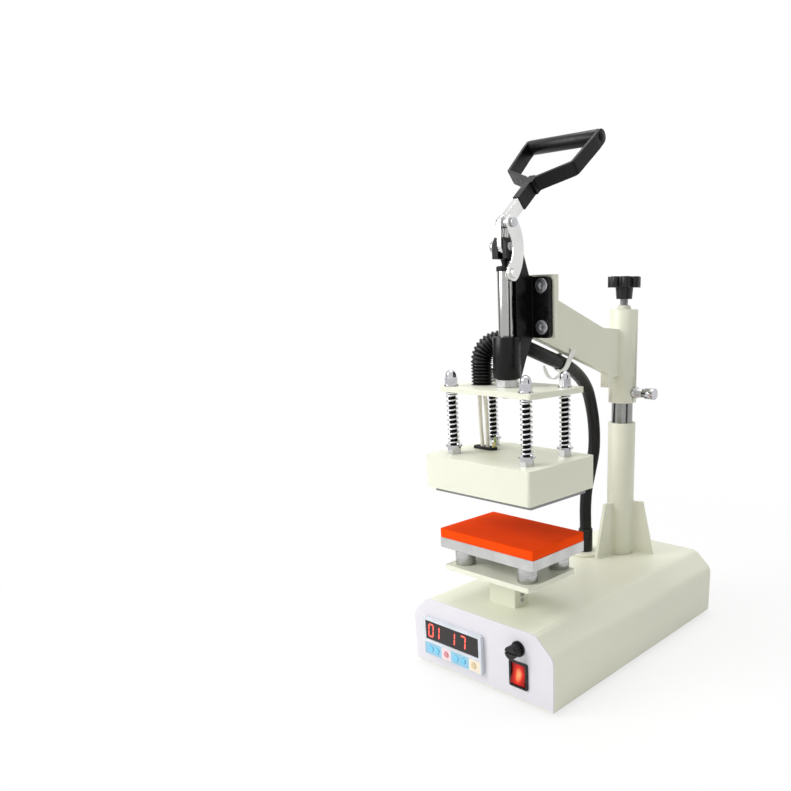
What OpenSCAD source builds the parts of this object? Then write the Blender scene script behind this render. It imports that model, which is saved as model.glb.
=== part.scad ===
// Label heat press: a desk press whose spring-loaded heating head hangs from a toggle clamp on a
// swing arm, over a small padded platen. Millimetres, +Z up, front towards -Y.

/* [Base] */
// Width of the base housing
base_w = 215; // [200:1:240]
// Depth of the base housing, with the front panel
base_d = 350; // [330:1:400]
// Height of the base housing
base_h = 84; // [78:1:96]
// Height of the upright part of the base's long sides
base_side_h = 62; // [55:1:70]
// How far the bevelled top edge comes in from each side
base_bevel = 24.5; // [18:0.5:30]
// Outer radius of the bends along the bevelled edges
base_bend_r = 14; // [6:1:18]
// Thickness of the base's folded sheet
sheet_t = 1.5; // [1:0.1:2.5]
// Height of the rubber feet
foot_h = 5; // [3:0.5:10]
// Diameter of the rubber feet
foot_d = 22; // [14:1:30]
// Distance of each foot's centre from the base's edges
foot_inset = 30; // [24:1:45]

/* [Front panel] */
// Width of the temperature controller's bezel
bezel_w = 96; // [90:1:100]
// Height of the temperature controller's bezel
bezel_h = 48; // [46:1:50]
// How far the bezel stands out of the panel
bezel_t = 5; // [3:0.5:8]
// Centre of the controller across the panel
bezel_x = -40; // [-48:1:-36]
// Centre of the controller above the base's lower edge
bezel_z = 37.5; // [34:0.5:42]
// Height of the controller's display window
window_h = 24; // [20:1:26]
// Diameter of a controller key
key_d = 7.6; // [6:0.2:8.4]
// How far a key can be pressed
key_travel = 0.5; // [0.3:0.1:0.8]
// Width of the power switch frame
switch_w = 26; // [22:1:30]
// Height of the power switch frame
switch_h = 31; // [28:1:34]
// Centre of the power switch and fuse across the panel
switch_x = 60; // [50:1:68]
// Centre of the power switch above the base's lower edge
switch_z = 31; // [28:1:34]
// Centre of the fuse holder above the base's lower edge
fuse_z = 62; // [58:1:66]
// Diameter of the fuse cap
fuse_cap_d = 15; // [12:0.5:17]
// Length of the fuse cap
fuse_cap_l = 12; // [8:1:16]

/* [Lower platen] */
// Width of the platen and its pad
platen_w = 141; // [124:1:150]
// Depth of the platen and its pad
platen_d = 89; // [80:1:100]
// Thickness of the platen
platen_t = 12; // [8:1:16]
// Thickness of the silicone pad
pad_t = 10.5; // [6:0.5:14]
// Height of the round standoffs under the platen
standoff_h = 20; // [14:1:30]
// Diameter of the standoffs
standoff_d = 23; // [16:1:26]
// Thickness of the carrier plate
carrier_t = 6; // [4:0.5:8]
// Width of the carrier plate
carrier_w = 128; // [118:1:140]
// Depth of the carrier plate
carrier_d = 80; // [76:1:96]
// Spacing of the standoffs across the platen
standoff_x = 95; // [86:1:100]
// Spacing of the standoffs from front to rear
standoff_y = 55; // [46:1:57]
// Height of the pedestal tube
pedestal_h = 37; // [30:1:50]
// Width of the pedestal tube
pedestal_w = 40; // [30:1:44]
// Depth of the pedestal tube
pedestal_d = 23; // [20:1:34]
// Wall of the pedestal tube
pedestal_wall = 3; // [2:0.5:4]

/* [Heating head] */
// Width of the head cover
head_w = 153; // [146:1:170]
// Depth of the head cover
head_d = 110; // [102:1:118]
// Height of the head cover
head_h = 36.5; // [30:0.5:46]
// How far the heating plate shows below the cover
heat_lip = 5.2; // [2:0.1:8]
// Width of the heating plate
heat_w = 142; // [140:1:148]
// Depth of the heating plate
heat_d = 94; // [88:1:104]
// Thickness of the heating plate
heat_t = 18; // [12:1:22]
// Gap between the heating plate and the pad with the handle down
press_gap = 0.9; // [0.8:0.1:4]
// Spacing of the studs across the head
stud_x = 107; // [90:1:112]
// Spacing of the studs from front to rear
stud_y = 63; // [56:1:66]
// Diameter of the studs
stud_d = 8; // [6:0.5:8]
// Open height between the head and the upper plate
stud_span = 68; // [58:1:80]
// Outer diameter of the head springs
spring_d = 13; // [12.4:0.2:15]
// Wire diameter of the head springs
spring_wire = 1.8; // [1.2:0.1:2]
// Turns in each head spring
spring_turns = 10; // [6:1:12]
// Width of the upper plate
upper_w = 131; // [124:1:140]
// Depth of the upper plate
upper_d = 89.5; // [87:0.5:100]
// Thickness of the upper plate
upper_t = 6; // [4:0.5:8]

/* [Toggle clamp] */
// Diameter of the plunger rod
rod_d = 16; // [14:0.5:17]
// Diameter of the guide that the plunger slides in
guide_d = 30; // [26:1:34]
// Height of the guide
guide_h = 43; // [36:1:50]
// Distance between the handle's pivot and the link's pin
crank_r = 22.25; // [20:0.25:26]
// Distance between the link's two pins
link_l = 48; // [46:0.5:52]
// Height of the handle's pivot above the guide's lower end
pivot_rise = 132; // [126:1:140]
// Width of the clamp's mounting flange
flange_w = 61; // [60:1:72]
// Height of the clamp's mounting flange
flange_h = 63; // [56:1:68]
// Distance of the flange's front from the plunger axis
flange_reach = 34.5; // [32:0.5:40]
// Tilt of the handle behind the bend
handle_tilt = 42; // [30:1:60]
// Width across the handle's side straps
handle_w = 99; // [80:1:110]
// Width of the handle's flat straps
strap_w = 14.5; // [13.5:0.5:24]
// Thickness of the handle's flat straps
strap_t = 3.5; // [2.5:0.5:5]
// Diameter of the hand grip
grip_d = 15; // [12:0.5:20]

/* [Column and arm] */
// Distance between the plunger axis and the base's front edge
press_setback = 58.5; // [54:0.5:70]
// Distance between the plunger axis and the column axis
throat = 222; // [205:1:235]
// Diameter of the column and of the arm's sleeve
column_d = 36.5; // [32:0.5:38]
// Diameter of the steel post
post_d = 28; // [24:0.5:28.5]
// Length of post that shows between the column and the sleeve
post_gap = 26.5; // [20:0.5:34]
// Length of the arm's sleeve
sleeve_h = 117.5; // [105:0.5:130]
// Reach of the column's gussets at their feet, from the column axis
gusset_foot = 48; // [42:1:56]
// Reach of the column's gussets at their tops, from the column axis
gusset_top = 32; // [26:1:40]
// Height of the column's gussets
gusset_h = 74; // [60:1:90]
// Thickness of the column's gussets
gusset_t = 5; // [3:0.5:8]
// Thickness of the arm plate
arm_t = 11; // [8:0.5:14]
// Thickness of the plate that carries the clamp
face_t = 5; // [4:0.5:8]
// Diameter of the height screw
screw_d = 10; // [8:0.5:10]
// Diameter of the star knob
knob_d = 42.5; // [34:0.5:46]
// Thickness of the star knob
knob_t = 13; // [10:1:16]
// Lobes around the star knob
knob_lobes = 7; // [5:1:9]
// Travel of the arm up the post
height_travel = 6; // [3:0.5:7]

/* [Hoses] */
// Diameter of the smooth hose
hose_d = 16; // [12:0.5:17]
// Outer diameter of the ribbed hose
ribbed_d = 24; // [22:0.5:25]
// Bore of the ribbed hose
ribbed_bore = 18.5; // [18:0.1:19]
// Spacing of the ribs along the ribbed hose
rib_pitch = 3.5; // [3:0.1:5]

/* [Hidden] */
$fn = 64;

// Clearances
run_clear = 0.05;    // between a shaft and its bore, on the radius
fit_clear = 0.2;     // between a fixed piece and its cut-out, on each side
move_clear = 0.3;    // between two pieces that move past each other
overcut = 1;         // how far a cut runs past a face

// Colours
cream = [0.83, 0.84, 0.76];
panel_white = [0.93, 0.92, 0.94];
black = [0.11, 0.11, 0.12];
steel = [0.72, 0.72, 0.71];
bright = [0.83, 0.83, 0.82];
alloy = [0.62, 0.63, 0.61];

// Heights, from the surface that the feet stand on
base_z = foot_h;
base_top = base_z + base_h;
carrier_z = base_top + pedestal_h;
platen_z = carrier_z + carrier_t + standoff_h;
pad_z = platen_z + platen_t;
pad_top = pad_z + pad_t;
stroke = 2 * crank_r;
heat_z = pad_top + press_gap + stroke;
cover_z = heat_z + heat_lip;
head_top = cover_z + head_h;
upper_z = head_top + stud_span;
upper_top = upper_z + upper_t;
rod_nut_h = 8;
rod_nut_gap = 1;
guide_z = upper_top + rod_nut_h + rod_nut_gap;
pivot_z = guide_z + pivot_rise;
flange_rise = 41;
flange_z = guide_z + flange_rise;
sleeve_drop = 88.5;
sleeve_z = flange_z - sleeve_drop;
sleeve_top = sleeve_z + sleeve_h;
column_top = sleeve_z - post_gap;

// Places along the depth
panel_y = -base_d / 2;
press_y = panel_y + press_setback;
column_y = press_y + throat;
flange_t = 6;
face_y = press_y + flange_reach + flange_t;
fuse_flange_t = 2;
fuse_reach = fuse_flange_t + fuse_cap_l;
inlet_lip = 3;
centre_shift = (fuse_reach - inlet_lip) / 2;

// Small fixed sizes
cover_screw_d = 4;
cover_screw_head_d = 7.5;
cover_screw_l = 5;
cover_screw_side = 8;
cover_screw_end = 30;
screw_head_h = 1.6;
case_wall = 2;
case_depth = 60;
window_inset = 1;
key_strip_h = 15;
key_gap = 0.3;
key_x = [-36, -26, -10, 6.5, 18, 35];
rocker_r = 13.2;
rocker_face_angle = 10;
stud_nut_h = 10;
dome_base_h = 9.5;
dome_nut = 12;
dome_r = 5.8;
hole_slack = 0.4;
lead_d = 4.4;
grommet_x = -44.5;
grommet_setback = 8.5;
grommet_y = press_y + grommet_setback;
grommet_w = 33;
grommet_d = 12;
conduit_x = -38;
conduit_setback = 0.5;
conduit_y = press_y + conduit_setback;
gland_x = -33;
gland_out = 35.5;
gland_y = column_y - gland_out;
gland_d = 44;
gland_t = 4;
fitting_d = 19.5;
fitting_h = 36;
fitting_lip = 2;
fitting_mouth_d = 18.5;
index_rise = 13.5;
index_r = 7.2;
pin_d = 8;
pin_head_h = 3;
pin_head_rim = 2;
link_pin_d = 6;
link_head_h = 2.2;
link_head_rim = 1.5;
lever_t = 6;
lever_r = 7.5;
link_t = 3.6;
link_half = 8;
link_bulge = 8;
fork_left = 11.5;
fork_right = 8.8;
link_x = fork_right + move_clear;

// Shapes used more than once
module at_press(z) {
    translate([0, press_y, z]) children();
}

module at_column(z) {
    translate([0, column_y, z]) children();
}

module rounded_rect(w, d, r) {
    square([w - 2 * r, d], center = true);
    square([w, d - 2 * r], center = true);
    for (x = [-1, 1], y = [-1, 1])
        translate([x * (w / 2 - r), y * (d / 2 - r)]) circle(r);
}

module rounded_plate(w, d, h, r) {
    linear_extrude(h) rounded_rect(w, d, r);
}

module at_corners(w, d) {
    for (x = [-1, 1], y = [-1, 1])
        translate([x * w / 2, y * d / 2, 0]) children();
}

// Round bar along X from x0 to x1
module bar_x(x0, x1, d) {
    translate([x0, 0, 0]) rotate([0, 90, 0]) cylinder(h = x1 - x0, d = d);
}

// Round bar along Y from y0 to y1
module bar_y(y0, y1, d) {
    translate([0, y0, 0]) rotate([-90, 0, 0]) cylinder(h = y1 - y0, d = d);
}

// Hexagon bar with a round hole, along Z
module hex_nut(across, h, bore) {
    difference() {
        cylinder(h = h, d = across / cos(30), $fn = 6);
        translate([0, 0, -overcut]) cylinder(h = h + 2 * overcut, d = bore);
    }
}

// Profile in Y and Z, extruded across X from x0 to x1
module across_x(x0, x1) {
    translate([x0, 0, 0]) rotate([90, 0, 90]) linear_extrude(x1 - x0) children();
}

// Points of an arc, between two angles from the X axis
bend_steps = 8;
function arc(centre, r, a0, a1) =
    [for (i = [0:bend_steps]) let (a = a0 + (a1 - a0) * i / bend_steps) centre + r * [cos(a), sin(a)]];

// Sweeps: points of rings, joined to one closed tube
function ring_points(c, u, v, r, sides) =
    [for (k = [0:sides - 1]) let (a = 360 * k / sides) c + r * (cos(a) * u + sin(a) * v)];
function unit(v) = v / norm(v);
function tangent(p, i) =
    unit(p[min(i + 1, len(p) - 1)] - p[max(i - 1, 0)]);
function side_faces(rings, sides) =
    [for (i = [0:rings - 2], k = [0:sides - 1], h = [0, 1])
        let (a = i * sides + k, b = i * sides + (k + 1) % sides)
        h == 0 ? [a, a + sides, b] : [b, a + sides, b + sides]];
function cap_faces(first, sides, flip) =
    [for (k = [1:sides - 2])
        flip ? [first, first + k, first + k + 1] : [first, first + k + 1, first + k]];

module tube_along(route, d, sides, first = undef, last = undef) {
    n = len(route);
    side = [1, 0, 0];
    points = [for (i = [0:n - 1])
        let (t = i == 0 && first != undef ? first : i == n - 1 && last != undef ? last : tangent(route, i),
            u = unit(cross(side, t)), v = cross(t, u))
        each ring_points(route[i], u, v, d / 2, sides)];
    faces = concat(side_faces(n, sides), cap_faces(0, sides, true),
        cap_faces((n - 1) * sides, sides, false));
    polyhedron(points = points, faces = faces);
}

// Base
module base_profile(inset) {
    slope = atan2(base_h - base_side_h, base_bevel);
    half = base_w / 2 - inset;
    top = base_h - inset;
    r = base_bend_r - inset;
    low = [half - r, base_side_h - base_bend_r * tan((90 - slope) / 2)];
    high = [base_w / 2 - base_bevel - base_bend_r * tan(slope / 2), top - r];
    right = concat([[half, sheet_t]], arc(low, r, 0, 90 - slope), arc(high, r, 90 - slope, 90));
    polygon(concat(right, [for (i = [len(right) - 1:-1:0]) [-right[i][0], right[i][1]]]));
}

module base_housing() {
    color(cream) difference() {
        translate([0, panel_y + sheet_t, base_z]) rotate([90, 0, 0]) mirror([0, 0, 1])
            linear_extrude(base_d - sheet_t) base_profile(0);
        translate([0, panel_y - overcut, base_z]) rotate([90, 0, 0]) mirror([0, 0, 1])
            linear_extrude(base_d + overcut - sheet_t) base_inside();
        translate([gland_x, gland_y, base_top - sheet_t - overcut])
            cylinder(h = sheet_t + 2 * overcut, d = hose_d + 2 * fit_clear);
        translate([inlet_x, base_d / 2, inlet_z]) rotate([90, 0, 0])
            linear_extrude(4 * sheet_t, center = true)
            square([inlet_w + 2 * fit_clear, inlet_h + 2 * fit_clear], center = true);
    }
}

module base_inside() {
    intersection() {
        base_profile(sheet_t);
        translate([-base_w, 0]) square([2 * base_w, base_h]);
    }
    translate([-base_w / 2 + sheet_t, 0]) square([base_w - 2 * sheet_t, 2 * sheet_t]);
}

module front_panel() {
    color(panel_white) difference() {
        translate([0, panel_y + sheet_t, base_z]) rotate([90, 0, 0])
            linear_extrude(sheet_t) base_profile(0);
        on_panel(bezel_x, bezel_z) linear_extrude(4 * sheet_t, center = true)
            square([case_w + 2 * fit_clear, case_h + 2 * fit_clear], center = true);
        on_panel(switch_x, switch_z) linear_extrude(4 * sheet_t, center = true)
            square([rocker_slot_w + 2 * case_wall, rocker_slot_h + 2 * case_wall], center = true);
        on_panel(switch_x, fuse_z) cylinder(h = 4 * sheet_t, d = fuse_barrel_d, center = true);
    }
}

// Frame on the front panel's face: X across, Y up, Z outwards
module on_panel(x, z) {
    translate([x, panel_y, base_z + z]) rotate([90, 0, 0]) children();
}

module bottom_cover() {
    color(cream) difference() {
        translate([-base_w / 2, panel_y, base_z]) cube([base_w, base_d, sheet_t]);
        at_cover_screws() translate([0, 0, -overcut])
            cylinder(h = sheet_t + 2 * overcut, d = cover_screw_d + 2 * run_clear);
    }
}

module at_cover_screws() {
    translate([0, 0, base_z])
        at_corners(base_w - 2 * cover_screw_side, base_d - 2 * cover_screw_end) children();
}

module cover_screws() {
    color(steel) at_cover_screws() {
        translate([0, 0, -screw_head_h]) cylinder(h = screw_head_h, d = cover_screw_head_d);
        cylinder(h = sheet_t + cover_screw_l, d = cover_screw_d);
    }
}

module rubber_feet() {
    color(black) at_corners(base_w - 2 * foot_inset, base_d - 2 * foot_inset) difference() {
        cylinder(h = foot_h, d = foot_d);
        translate([0, 0, -overcut]) cylinder(h = foot_h / 2 + overcut, d = foot_d / 2);
    }
}

// Controller
bezel_rim = 2.5;
bezel_r = 3;
case_w = bezel_w - 2 * bezel_rim;
case_h = bezel_h - 2 * bezel_rim;
window_side = 4.5;
window_top = 3.5;
window_t = 2;
window_w = bezel_w - 2 * window_side;
window_z = bezel_h / 2 - window_top - window_h / 2;
strip_low = 1.5;
strip_t = 1.6;
strip_recess = 2;
strip_w = bezel_w - 2 * bezel_rim;
strip_z = -bezel_h / 2 + strip_low + key_strip_h / 2;
key_floor = 0.5;
key_rest = 0.1;
key_side_h = 0.9;
key_top_h = 1.4;
key_edge = 0.5;

module controller_case() {
    color([0.78, 0.79, 0.81]) on_panel(bezel_x, bezel_z) difference() {
        union() {
            rounded_plate(bezel_w, bezel_h, bezel_t, bezel_r);
            translate([0, 0, -case_depth]) linear_extrude(case_depth)
                square([case_w, case_h], center = true);
        }
        translate([0, window_z, bezel_t - window_t - window_inset])
            linear_extrude(window_t + window_inset + overcut) square([window_w, window_h], center = true);
        translate([0, strip_z, bezel_t - strip_recess])
            linear_extrude(strip_recess + overcut) square([strip_w, key_strip_h], center = true);
    }
}

module display_window() {
    color([0.1, 0.06, 0.06]) on_panel(bezel_x, bezel_z)
        translate([0, window_z, bezel_t - window_t - window_inset]) linear_extrude(window_t)
        square([window_w - 2 * fit_clear, window_h - 2 * fit_clear], center = true);
}

module key_panel() {
    color([0.62, 0.84, 0.92]) on_panel(bezel_x, bezel_z)
        translate([0, strip_z, bezel_t - strip_recess]) difference() {
            linear_extrude(strip_t)
                square([strip_w - 2 * fit_clear, key_strip_h - 2 * fit_clear], center = true);
            for (x = key_x)
                translate([x, 0, key_floor]) cylinder(h = strip_t, d = key_d + 2 * key_gap);
        }
}

module key(i, tone) {
    color(tone) on_panel(bezel_x + key_x[i], bezel_z + strip_z)
        translate([0, 0, bezel_t - strip_recess + key_floor + key_travel + key_rest])
        rotate_extrude() polygon([[0, 0], [key_d / 2, 0], [key_d / 2, key_side_h],
            [key_d / 2 - key_edge, key_top_h], [0, key_top_h]]);
}
module key_1() { key(0, [0.52, 0.78, 0.9]); }
module key_2() { key(1, [0.52, 0.78, 0.9]); }
module key_3() { key(2, [0.85, 0.35, 0.4]); }
module key_4() { key(3, [0.52, 0.78, 0.9]); }
module key_5() { key(4, [0.52, 0.78, 0.9]); }
module key_6() { key(5, [0.85, 0.78, 0.6]); }

// Power switch and fuse
rocker_w = switch_w - 6;
rocker_slot_w = rocker_w + 2 * move_clear;
rocker_slot_h = 2 * rocker_r + 2 * move_clear;
rocker_depth = 4;
rocker_pin_d = 3;
rocker_pin_l = 1;
rocker_back = 3;
rocker_ends = 6.5;
rocker_dip = rocker_ends - rocker_r * tan(rocker_face_angle);
frame_lip = 2.2;
frame_depth = 22;
frame_r = 2;
frame_h = max(switch_h, rocker_slot_h + 2 * case_wall);

module rocker_frame() {
    color(black) on_panel(switch_x, switch_z) difference() {
        union() {
            rounded_plate(switch_w, frame_h, frame_lip, frame_r);
            translate([0, 0, -frame_depth]) linear_extrude(frame_depth)
                square([rocker_slot_w + 2 * case_wall - 2 * fit_clear,
                    rocker_slot_h + 2 * case_wall - 2 * fit_clear], center = true);
        }
        translate([0, 0, -rocker_depth - rocker_r - move_clear])
            linear_extrude(rocker_depth + rocker_r + frame_lip + 2 * overcut)
            square([rocker_slot_w, rocker_slot_h], center = true);
        translate([0, 0, -rocker_depth]) bar_x(-rocker_slot_w / 2 - rocker_pin_l,
            rocker_slot_w / 2 + rocker_pin_l, rocker_pin_d + 2 * run_clear);
    }
}

// The switch stands pressed in at its top, and tips the other way by twice the face angle
module rocker() {
    color([0.72, 0.16, 0.1]) on_panel(switch_x, switch_z) translate([0, 0, -rocker_depth]) {
        rotate([-rocker_face_angle, 0, 0]) rotate([90, 0, 90]) linear_extrude(rocker_w, center = true)
            intersection() {
                circle(rocker_r);
                polygon([[-rocker_r, -rocker_back], [rocker_r, -rocker_back], [rocker_r, rocker_ends],
                    [0, rocker_dip], [-rocker_r, rocker_ends]]);
            }
        bar_x(-rocker_slot_w / 2 - rocker_pin_l + run_clear, rocker_slot_w / 2 + rocker_pin_l - run_clear,
            rocker_pin_d);
    }
}

fuse_barrel_d = 12.5;
fuse_barrel_l = 36;
fuse_barrel_floor = 2;
fuse_hole_d = 8;
fuse_flange_rim = 1.5;
fuse_plug_l = 4;
fuse_l = 22;
fuse_d = 5;
cap_lift = 0.1;
cap_slot_w = 1.6;
cap_slot_t = 1.8;
cap_flutes = 12;
cap_flute_d = 1.8;
cap_flute_out = 0.4;
cap_crown = 2;

module fuse_holder() {
    color(black) on_panel(switch_x, fuse_z) difference() {
        union() {
            cylinder(h = fuse_flange_t, d = fuse_cap_d + 2 * fuse_flange_rim);
            translate([0, 0, -fuse_barrel_l])
                cylinder(h = fuse_barrel_l, d = fuse_barrel_d - 2 * run_clear);
        }
        translate([0, 0, -fuse_barrel_l + fuse_barrel_floor])
            cylinder(h = fuse_barrel_l + fuse_flange_t, d = fuse_hole_d);
    }
}

// The cap carries the glass fuse
module fuse_cap() {
    color(black) on_panel(switch_x, fuse_z) {
        difference() {
            translate([0, 0, fuse_flange_t + cap_lift])
                cylinder(h = fuse_cap_l - cap_lift, d = fuse_cap_d);
            translate([-fuse_cap_d, -cap_slot_w / 2, fuse_reach - cap_slot_t])
                cube([2 * fuse_cap_d, cap_slot_w, cap_slot_t + overcut]);
            for (i = [0:cap_flutes - 1])
                rotate([0, 0, 360 * i / cap_flutes])
                    translate([fuse_cap_d / 2 + cap_flute_out, 0, fuse_flange_t])
                    cylinder(h = fuse_cap_l - cap_crown, d = cap_flute_d);
        }
        translate([0, 0, -fuse_plug_l])
            cylinder(h = fuse_plug_l + fuse_flange_t + cap_lift, d = fuse_hole_d - 2 * run_clear);
        translate([0, 0, -fuse_plug_l - fuse_l]) cylinder(h = fuse_l, d = fuse_d);
    }
}

// Mains inlet in the rear wall
inlet_side = 47.5;
inlet_x = base_w / 2 - inlet_side;
inlet_rise = 34;
inlet_z = base_z + inlet_rise;
inlet_w = 48;
inlet_h = 28;
inlet_rim_w = 4;
inlet_rim_h = 2;
inlet_r = 4;
inlet_depth = 18;
inlet_floor = 2;
socket_w = 25;
socket_h = 17;
blade_w = 2;
blade_h = 4;
blade_l = 14;
blade_places = [[-7, -1], [0, 3], [7, -1]];

module mains_inlet() {
    color(black) translate([inlet_x, base_d / 2, inlet_z]) rotate([90, 0, 180]) {
        difference() {
            union() {
                rounded_plate(inlet_w + 2 * inlet_rim_w, inlet_h + 2 * inlet_rim_h, inlet_lip, inlet_r);
                translate([0, 0, -inlet_depth - inlet_floor]) linear_extrude(inlet_depth + inlet_floor)
                    square([inlet_w, inlet_h], center = true);
            }
            translate([0, 0, -inlet_depth]) linear_extrude(inlet_depth + inlet_lip + overcut)
                square([socket_w, socket_h], center = true);
        }
        for (p = blade_places)
            translate([p[0] - blade_w / 2, p[1] - blade_h / 2, -inlet_depth])
                cube([blade_w, blade_h, blade_l]);
    }
}

// Relay on the bottom cover
relay_side = 47.5;
relay_place = [relay_side - base_w / 2, 20];
relay_size = [44, 60, 22];
relay_post_d = 7;
relay_post_h = 5;
relay_post_gap = 48;

module power_relay() {
    color([0.85, 0.85, 0.83]) translate([relay_place[0], relay_place[1], base_z + sheet_t]) {
        translate([-relay_size[0] / 2, -relay_size[1] / 2, 0]) cube(relay_size);
        for (s = [-1, 1])
            translate([0, s * relay_post_gap / 2, relay_size[2]])
                cylinder(h = relay_post_h, d = relay_post_d);
    }
}

// Column, welded to the base with its three gussets
gusset_count = 3;
gusset_turn = 22;

module column() {
    column_h = column_top - base_top;
    color(cream) at_column(base_top) difference() {
        union() {
            cylinder(h = column_h, d = column_d);
            for (i = [0:gusset_count - 1])
                rotate([0, 0, gusset_turn + 360 * i / gusset_count]) rotate([90, 0, 0])
                    translate([0, 0, -gusset_t / 2])
                    linear_extrude(gusset_t) polygon([[post_d / 2 + overcut, 0], [gusset_foot, 0],
                        [gusset_top, gusset_h], [post_d / 2 + overcut, gusset_h]]);
        }
        translate([0, 0, -overcut]) cylinder(h = column_h + 2 * overcut, d = post_d + 2 * run_clear);
    }
}

post_below = 28;
post_top = sleeve_top - post_below;

module post() {
    color(bright) at_column(base_top) cylinder(h = post_top - base_top, d = post_d);
}

module gland_flange() {
    color(cream) translate([gland_x, gland_y, base_top]) difference() {
        cylinder(h = gland_t, d = gland_d);
        translate([0, 0, -overcut]) cylinder(h = gland_t + 2 * overcut, d = hose_d + 2 * fit_clear);
    }
}

module hose_fitting() {
    color(black) translate([gland_x, gland_y, base_top + gland_t]) difference() {
        union() {
            cylinder(h = fitting_h - gland_t - fitting_lip, d = fitting_d);
            translate([0, 0, fitting_h - gland_t - fitting_lip])
                cylinder(h = fitting_lip, d1 = fitting_d, d2 = fitting_mouth_d);
        }
        translate([0, 0, -overcut]) cylinder(h = fitting_h + 2 * overcut, d = hose_d + 2 * fit_clear);
    }
}

// Lower platen
pedestal_setback = 7;
pedestal_y = press_y - pedestal_setback;
carrier_setback = 5;
pedestal_r = 1;
pedestal_bore_r = 0.5;
lock_screw_d = 5;
lock_screw_heights = [7, 14];
lock_screw_out = 1.5;
lock_socket = 2.5;
lock_socket_depth = 1.5;
platen_screw_d = 8;
platen_screw_head_d = 13;
platen_screw_head_h = 5;
carrier_r = 2;
platen_r = 1.5;
pad_r = 2.5;
pad_edge = 1;

module platen_pedestal() {
    color(cream) translate([0, pedestal_y, base_top]) difference() {
        rounded_plate(pedestal_w, pedestal_d, pedestal_h, pedestal_r);
        translate([0, 0, -overcut]) rounded_plate(pedestal_w - 2 * pedestal_wall,
            pedestal_d - 2 * pedestal_wall, pedestal_h + 2 * overcut, pedestal_bore_r);
        for (z = lock_screw_heights)
            translate([0, 0, z]) bar_x(0, pedestal_w, lock_screw_d + 2 * run_clear);
    }
}

module platen_carrier() {
    color(cream) at_press(carrier_z) difference() {
        translate([0, -carrier_setback, 0]) rounded_plate(carrier_w, carrier_d, carrier_t, carrier_r);
        at_corners(standoff_x, standoff_y) translate([0, 0, -overcut])
            cylinder(h = carrier_t + 2 * overcut, d = platen_screw_d + hole_slack);
    }
}

module platen_standoffs() {
    color(alloy) at_press(carrier_z + carrier_t) at_corners(standoff_x, standoff_y) difference() {
        cylinder(h = standoff_h, d = standoff_d);
        translate([0, 0, -overcut]) cylinder(h = standoff_h + 2 * overcut, d = platen_screw_d + hole_slack);
    }
}

// Screws up through the carrier and standoffs, and the pedestal's set screws
module platen_screws() {
    color(steel) {
        at_press(carrier_z) at_corners(standoff_x, standoff_y) {
            translate([0, 0, -platen_screw_head_h])
                cylinder(h = platen_screw_head_h, d = platen_screw_head_d);
            cylinder(h = carrier_t + standoff_h, d = platen_screw_d);
        }
        for (z = lock_screw_heights) translate([0, pedestal_y, base_top + z]) difference() {
            bar_x(pedestal_w / 2 - pedestal_wall, pedestal_w / 2 + lock_screw_out, lock_screw_d);
            translate([pedestal_w / 2 + lock_screw_out - lock_socket_depth, 0, 0]) rotate([0, 90, 0])
                cylinder(h = lock_socket_depth + overcut, d = lock_socket / cos(30), $fn = 6);
        }
    }
}

module lower_platen() {
    color(alloy) at_press(platen_z) rounded_plate(platen_w, platen_d, platen_t, platen_r);
}

module silicone_pad() {
    color([0.89, 0.24, 0.03]) at_press(pad_z) {
        rounded_plate(platen_w, platen_d, pad_t - pad_edge, pad_r);
        translate([0, 0, pad_t - pad_edge])
            rounded_plate(platen_w - pad_edge, platen_d - pad_edge, pad_edge, pad_r - pad_edge / 2);
    }
}

// Arm
thrust_t = 3;
cap_t = 6;
neck_h = 5;
neck_d = 19;
neck_wall = 2.5;
knob_spare = 1.5;
hub_z = sleeve_top + neck_h + height_travel + knob_spare;
hub_h = 14;
hub_low_d = 20;
hub_high_d = 22.5;
thrust_margin = 4;
lobe_fill = 0.62;

module thrust_pad() {
    color(steel) at_column(post_top) cylinder(h = thrust_t, d = post_d - 2 * thrust_margin);
}

module height_screw() {
    color(bright) at_column(post_top + thrust_t)
        cylinder(h = hub_z - post_top - thrust_t + hub_h / 2, d = screw_d);
}

module star_knob() {
    lobe_r = knob_d / 2 * sin(180 / knob_lobes) * lobe_fill;
    ring_r = knob_d / 2 - lobe_r;
    color(black) at_column(hub_z) difference() {
        union() {
            rotate_extrude() polygon([[0, 0], [hub_low_d / 2, 0], [hub_high_d / 2, hub_h],
                [hub_high_d / 2, hub_h + knob_t / 2], [0, hub_h + knob_t / 2]]);
            translate([0, 0, hub_h]) linear_extrude(knob_t) {
                circle(ring_r);
                for (i = [0:knob_lobes - 1])
                    rotate(360 * i / knob_lobes) translate([ring_r, 0]) circle(lobe_r);
            }
        }
        translate([0, 0, -overcut]) cylinder(h = hub_h / 2 + overcut, d = screw_d + 2 * run_clear);
    }
}

// Sleeve with its closed top, where the height screw runs, and its side hole for the index pin
module arm_sleeve() {
    color(cream) at_column(sleeve_z) difference() {
        union() {
            cylinder(h = sleeve_h, d = column_d);
            translate([0, 0, sleeve_h]) cylinder(h = neck_h, d1 = neck_d, d2 = screw_d + 2 * neck_wall);
        }
        translate([0, 0, -overcut]) cylinder(h = sleeve_h - cap_t + overcut, d = post_d + 2 * run_clear);
        translate([0, 0, sleeve_h - cap_t - overcut])
            cylinder(h = cap_t + neck_h + 2 * overcut, d = screw_d + 2 * run_clear);
        translate([0, 0, index_rise]) bar_x(0, column_d, index_pin_d + 2 * run_clear);
    }
}

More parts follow.
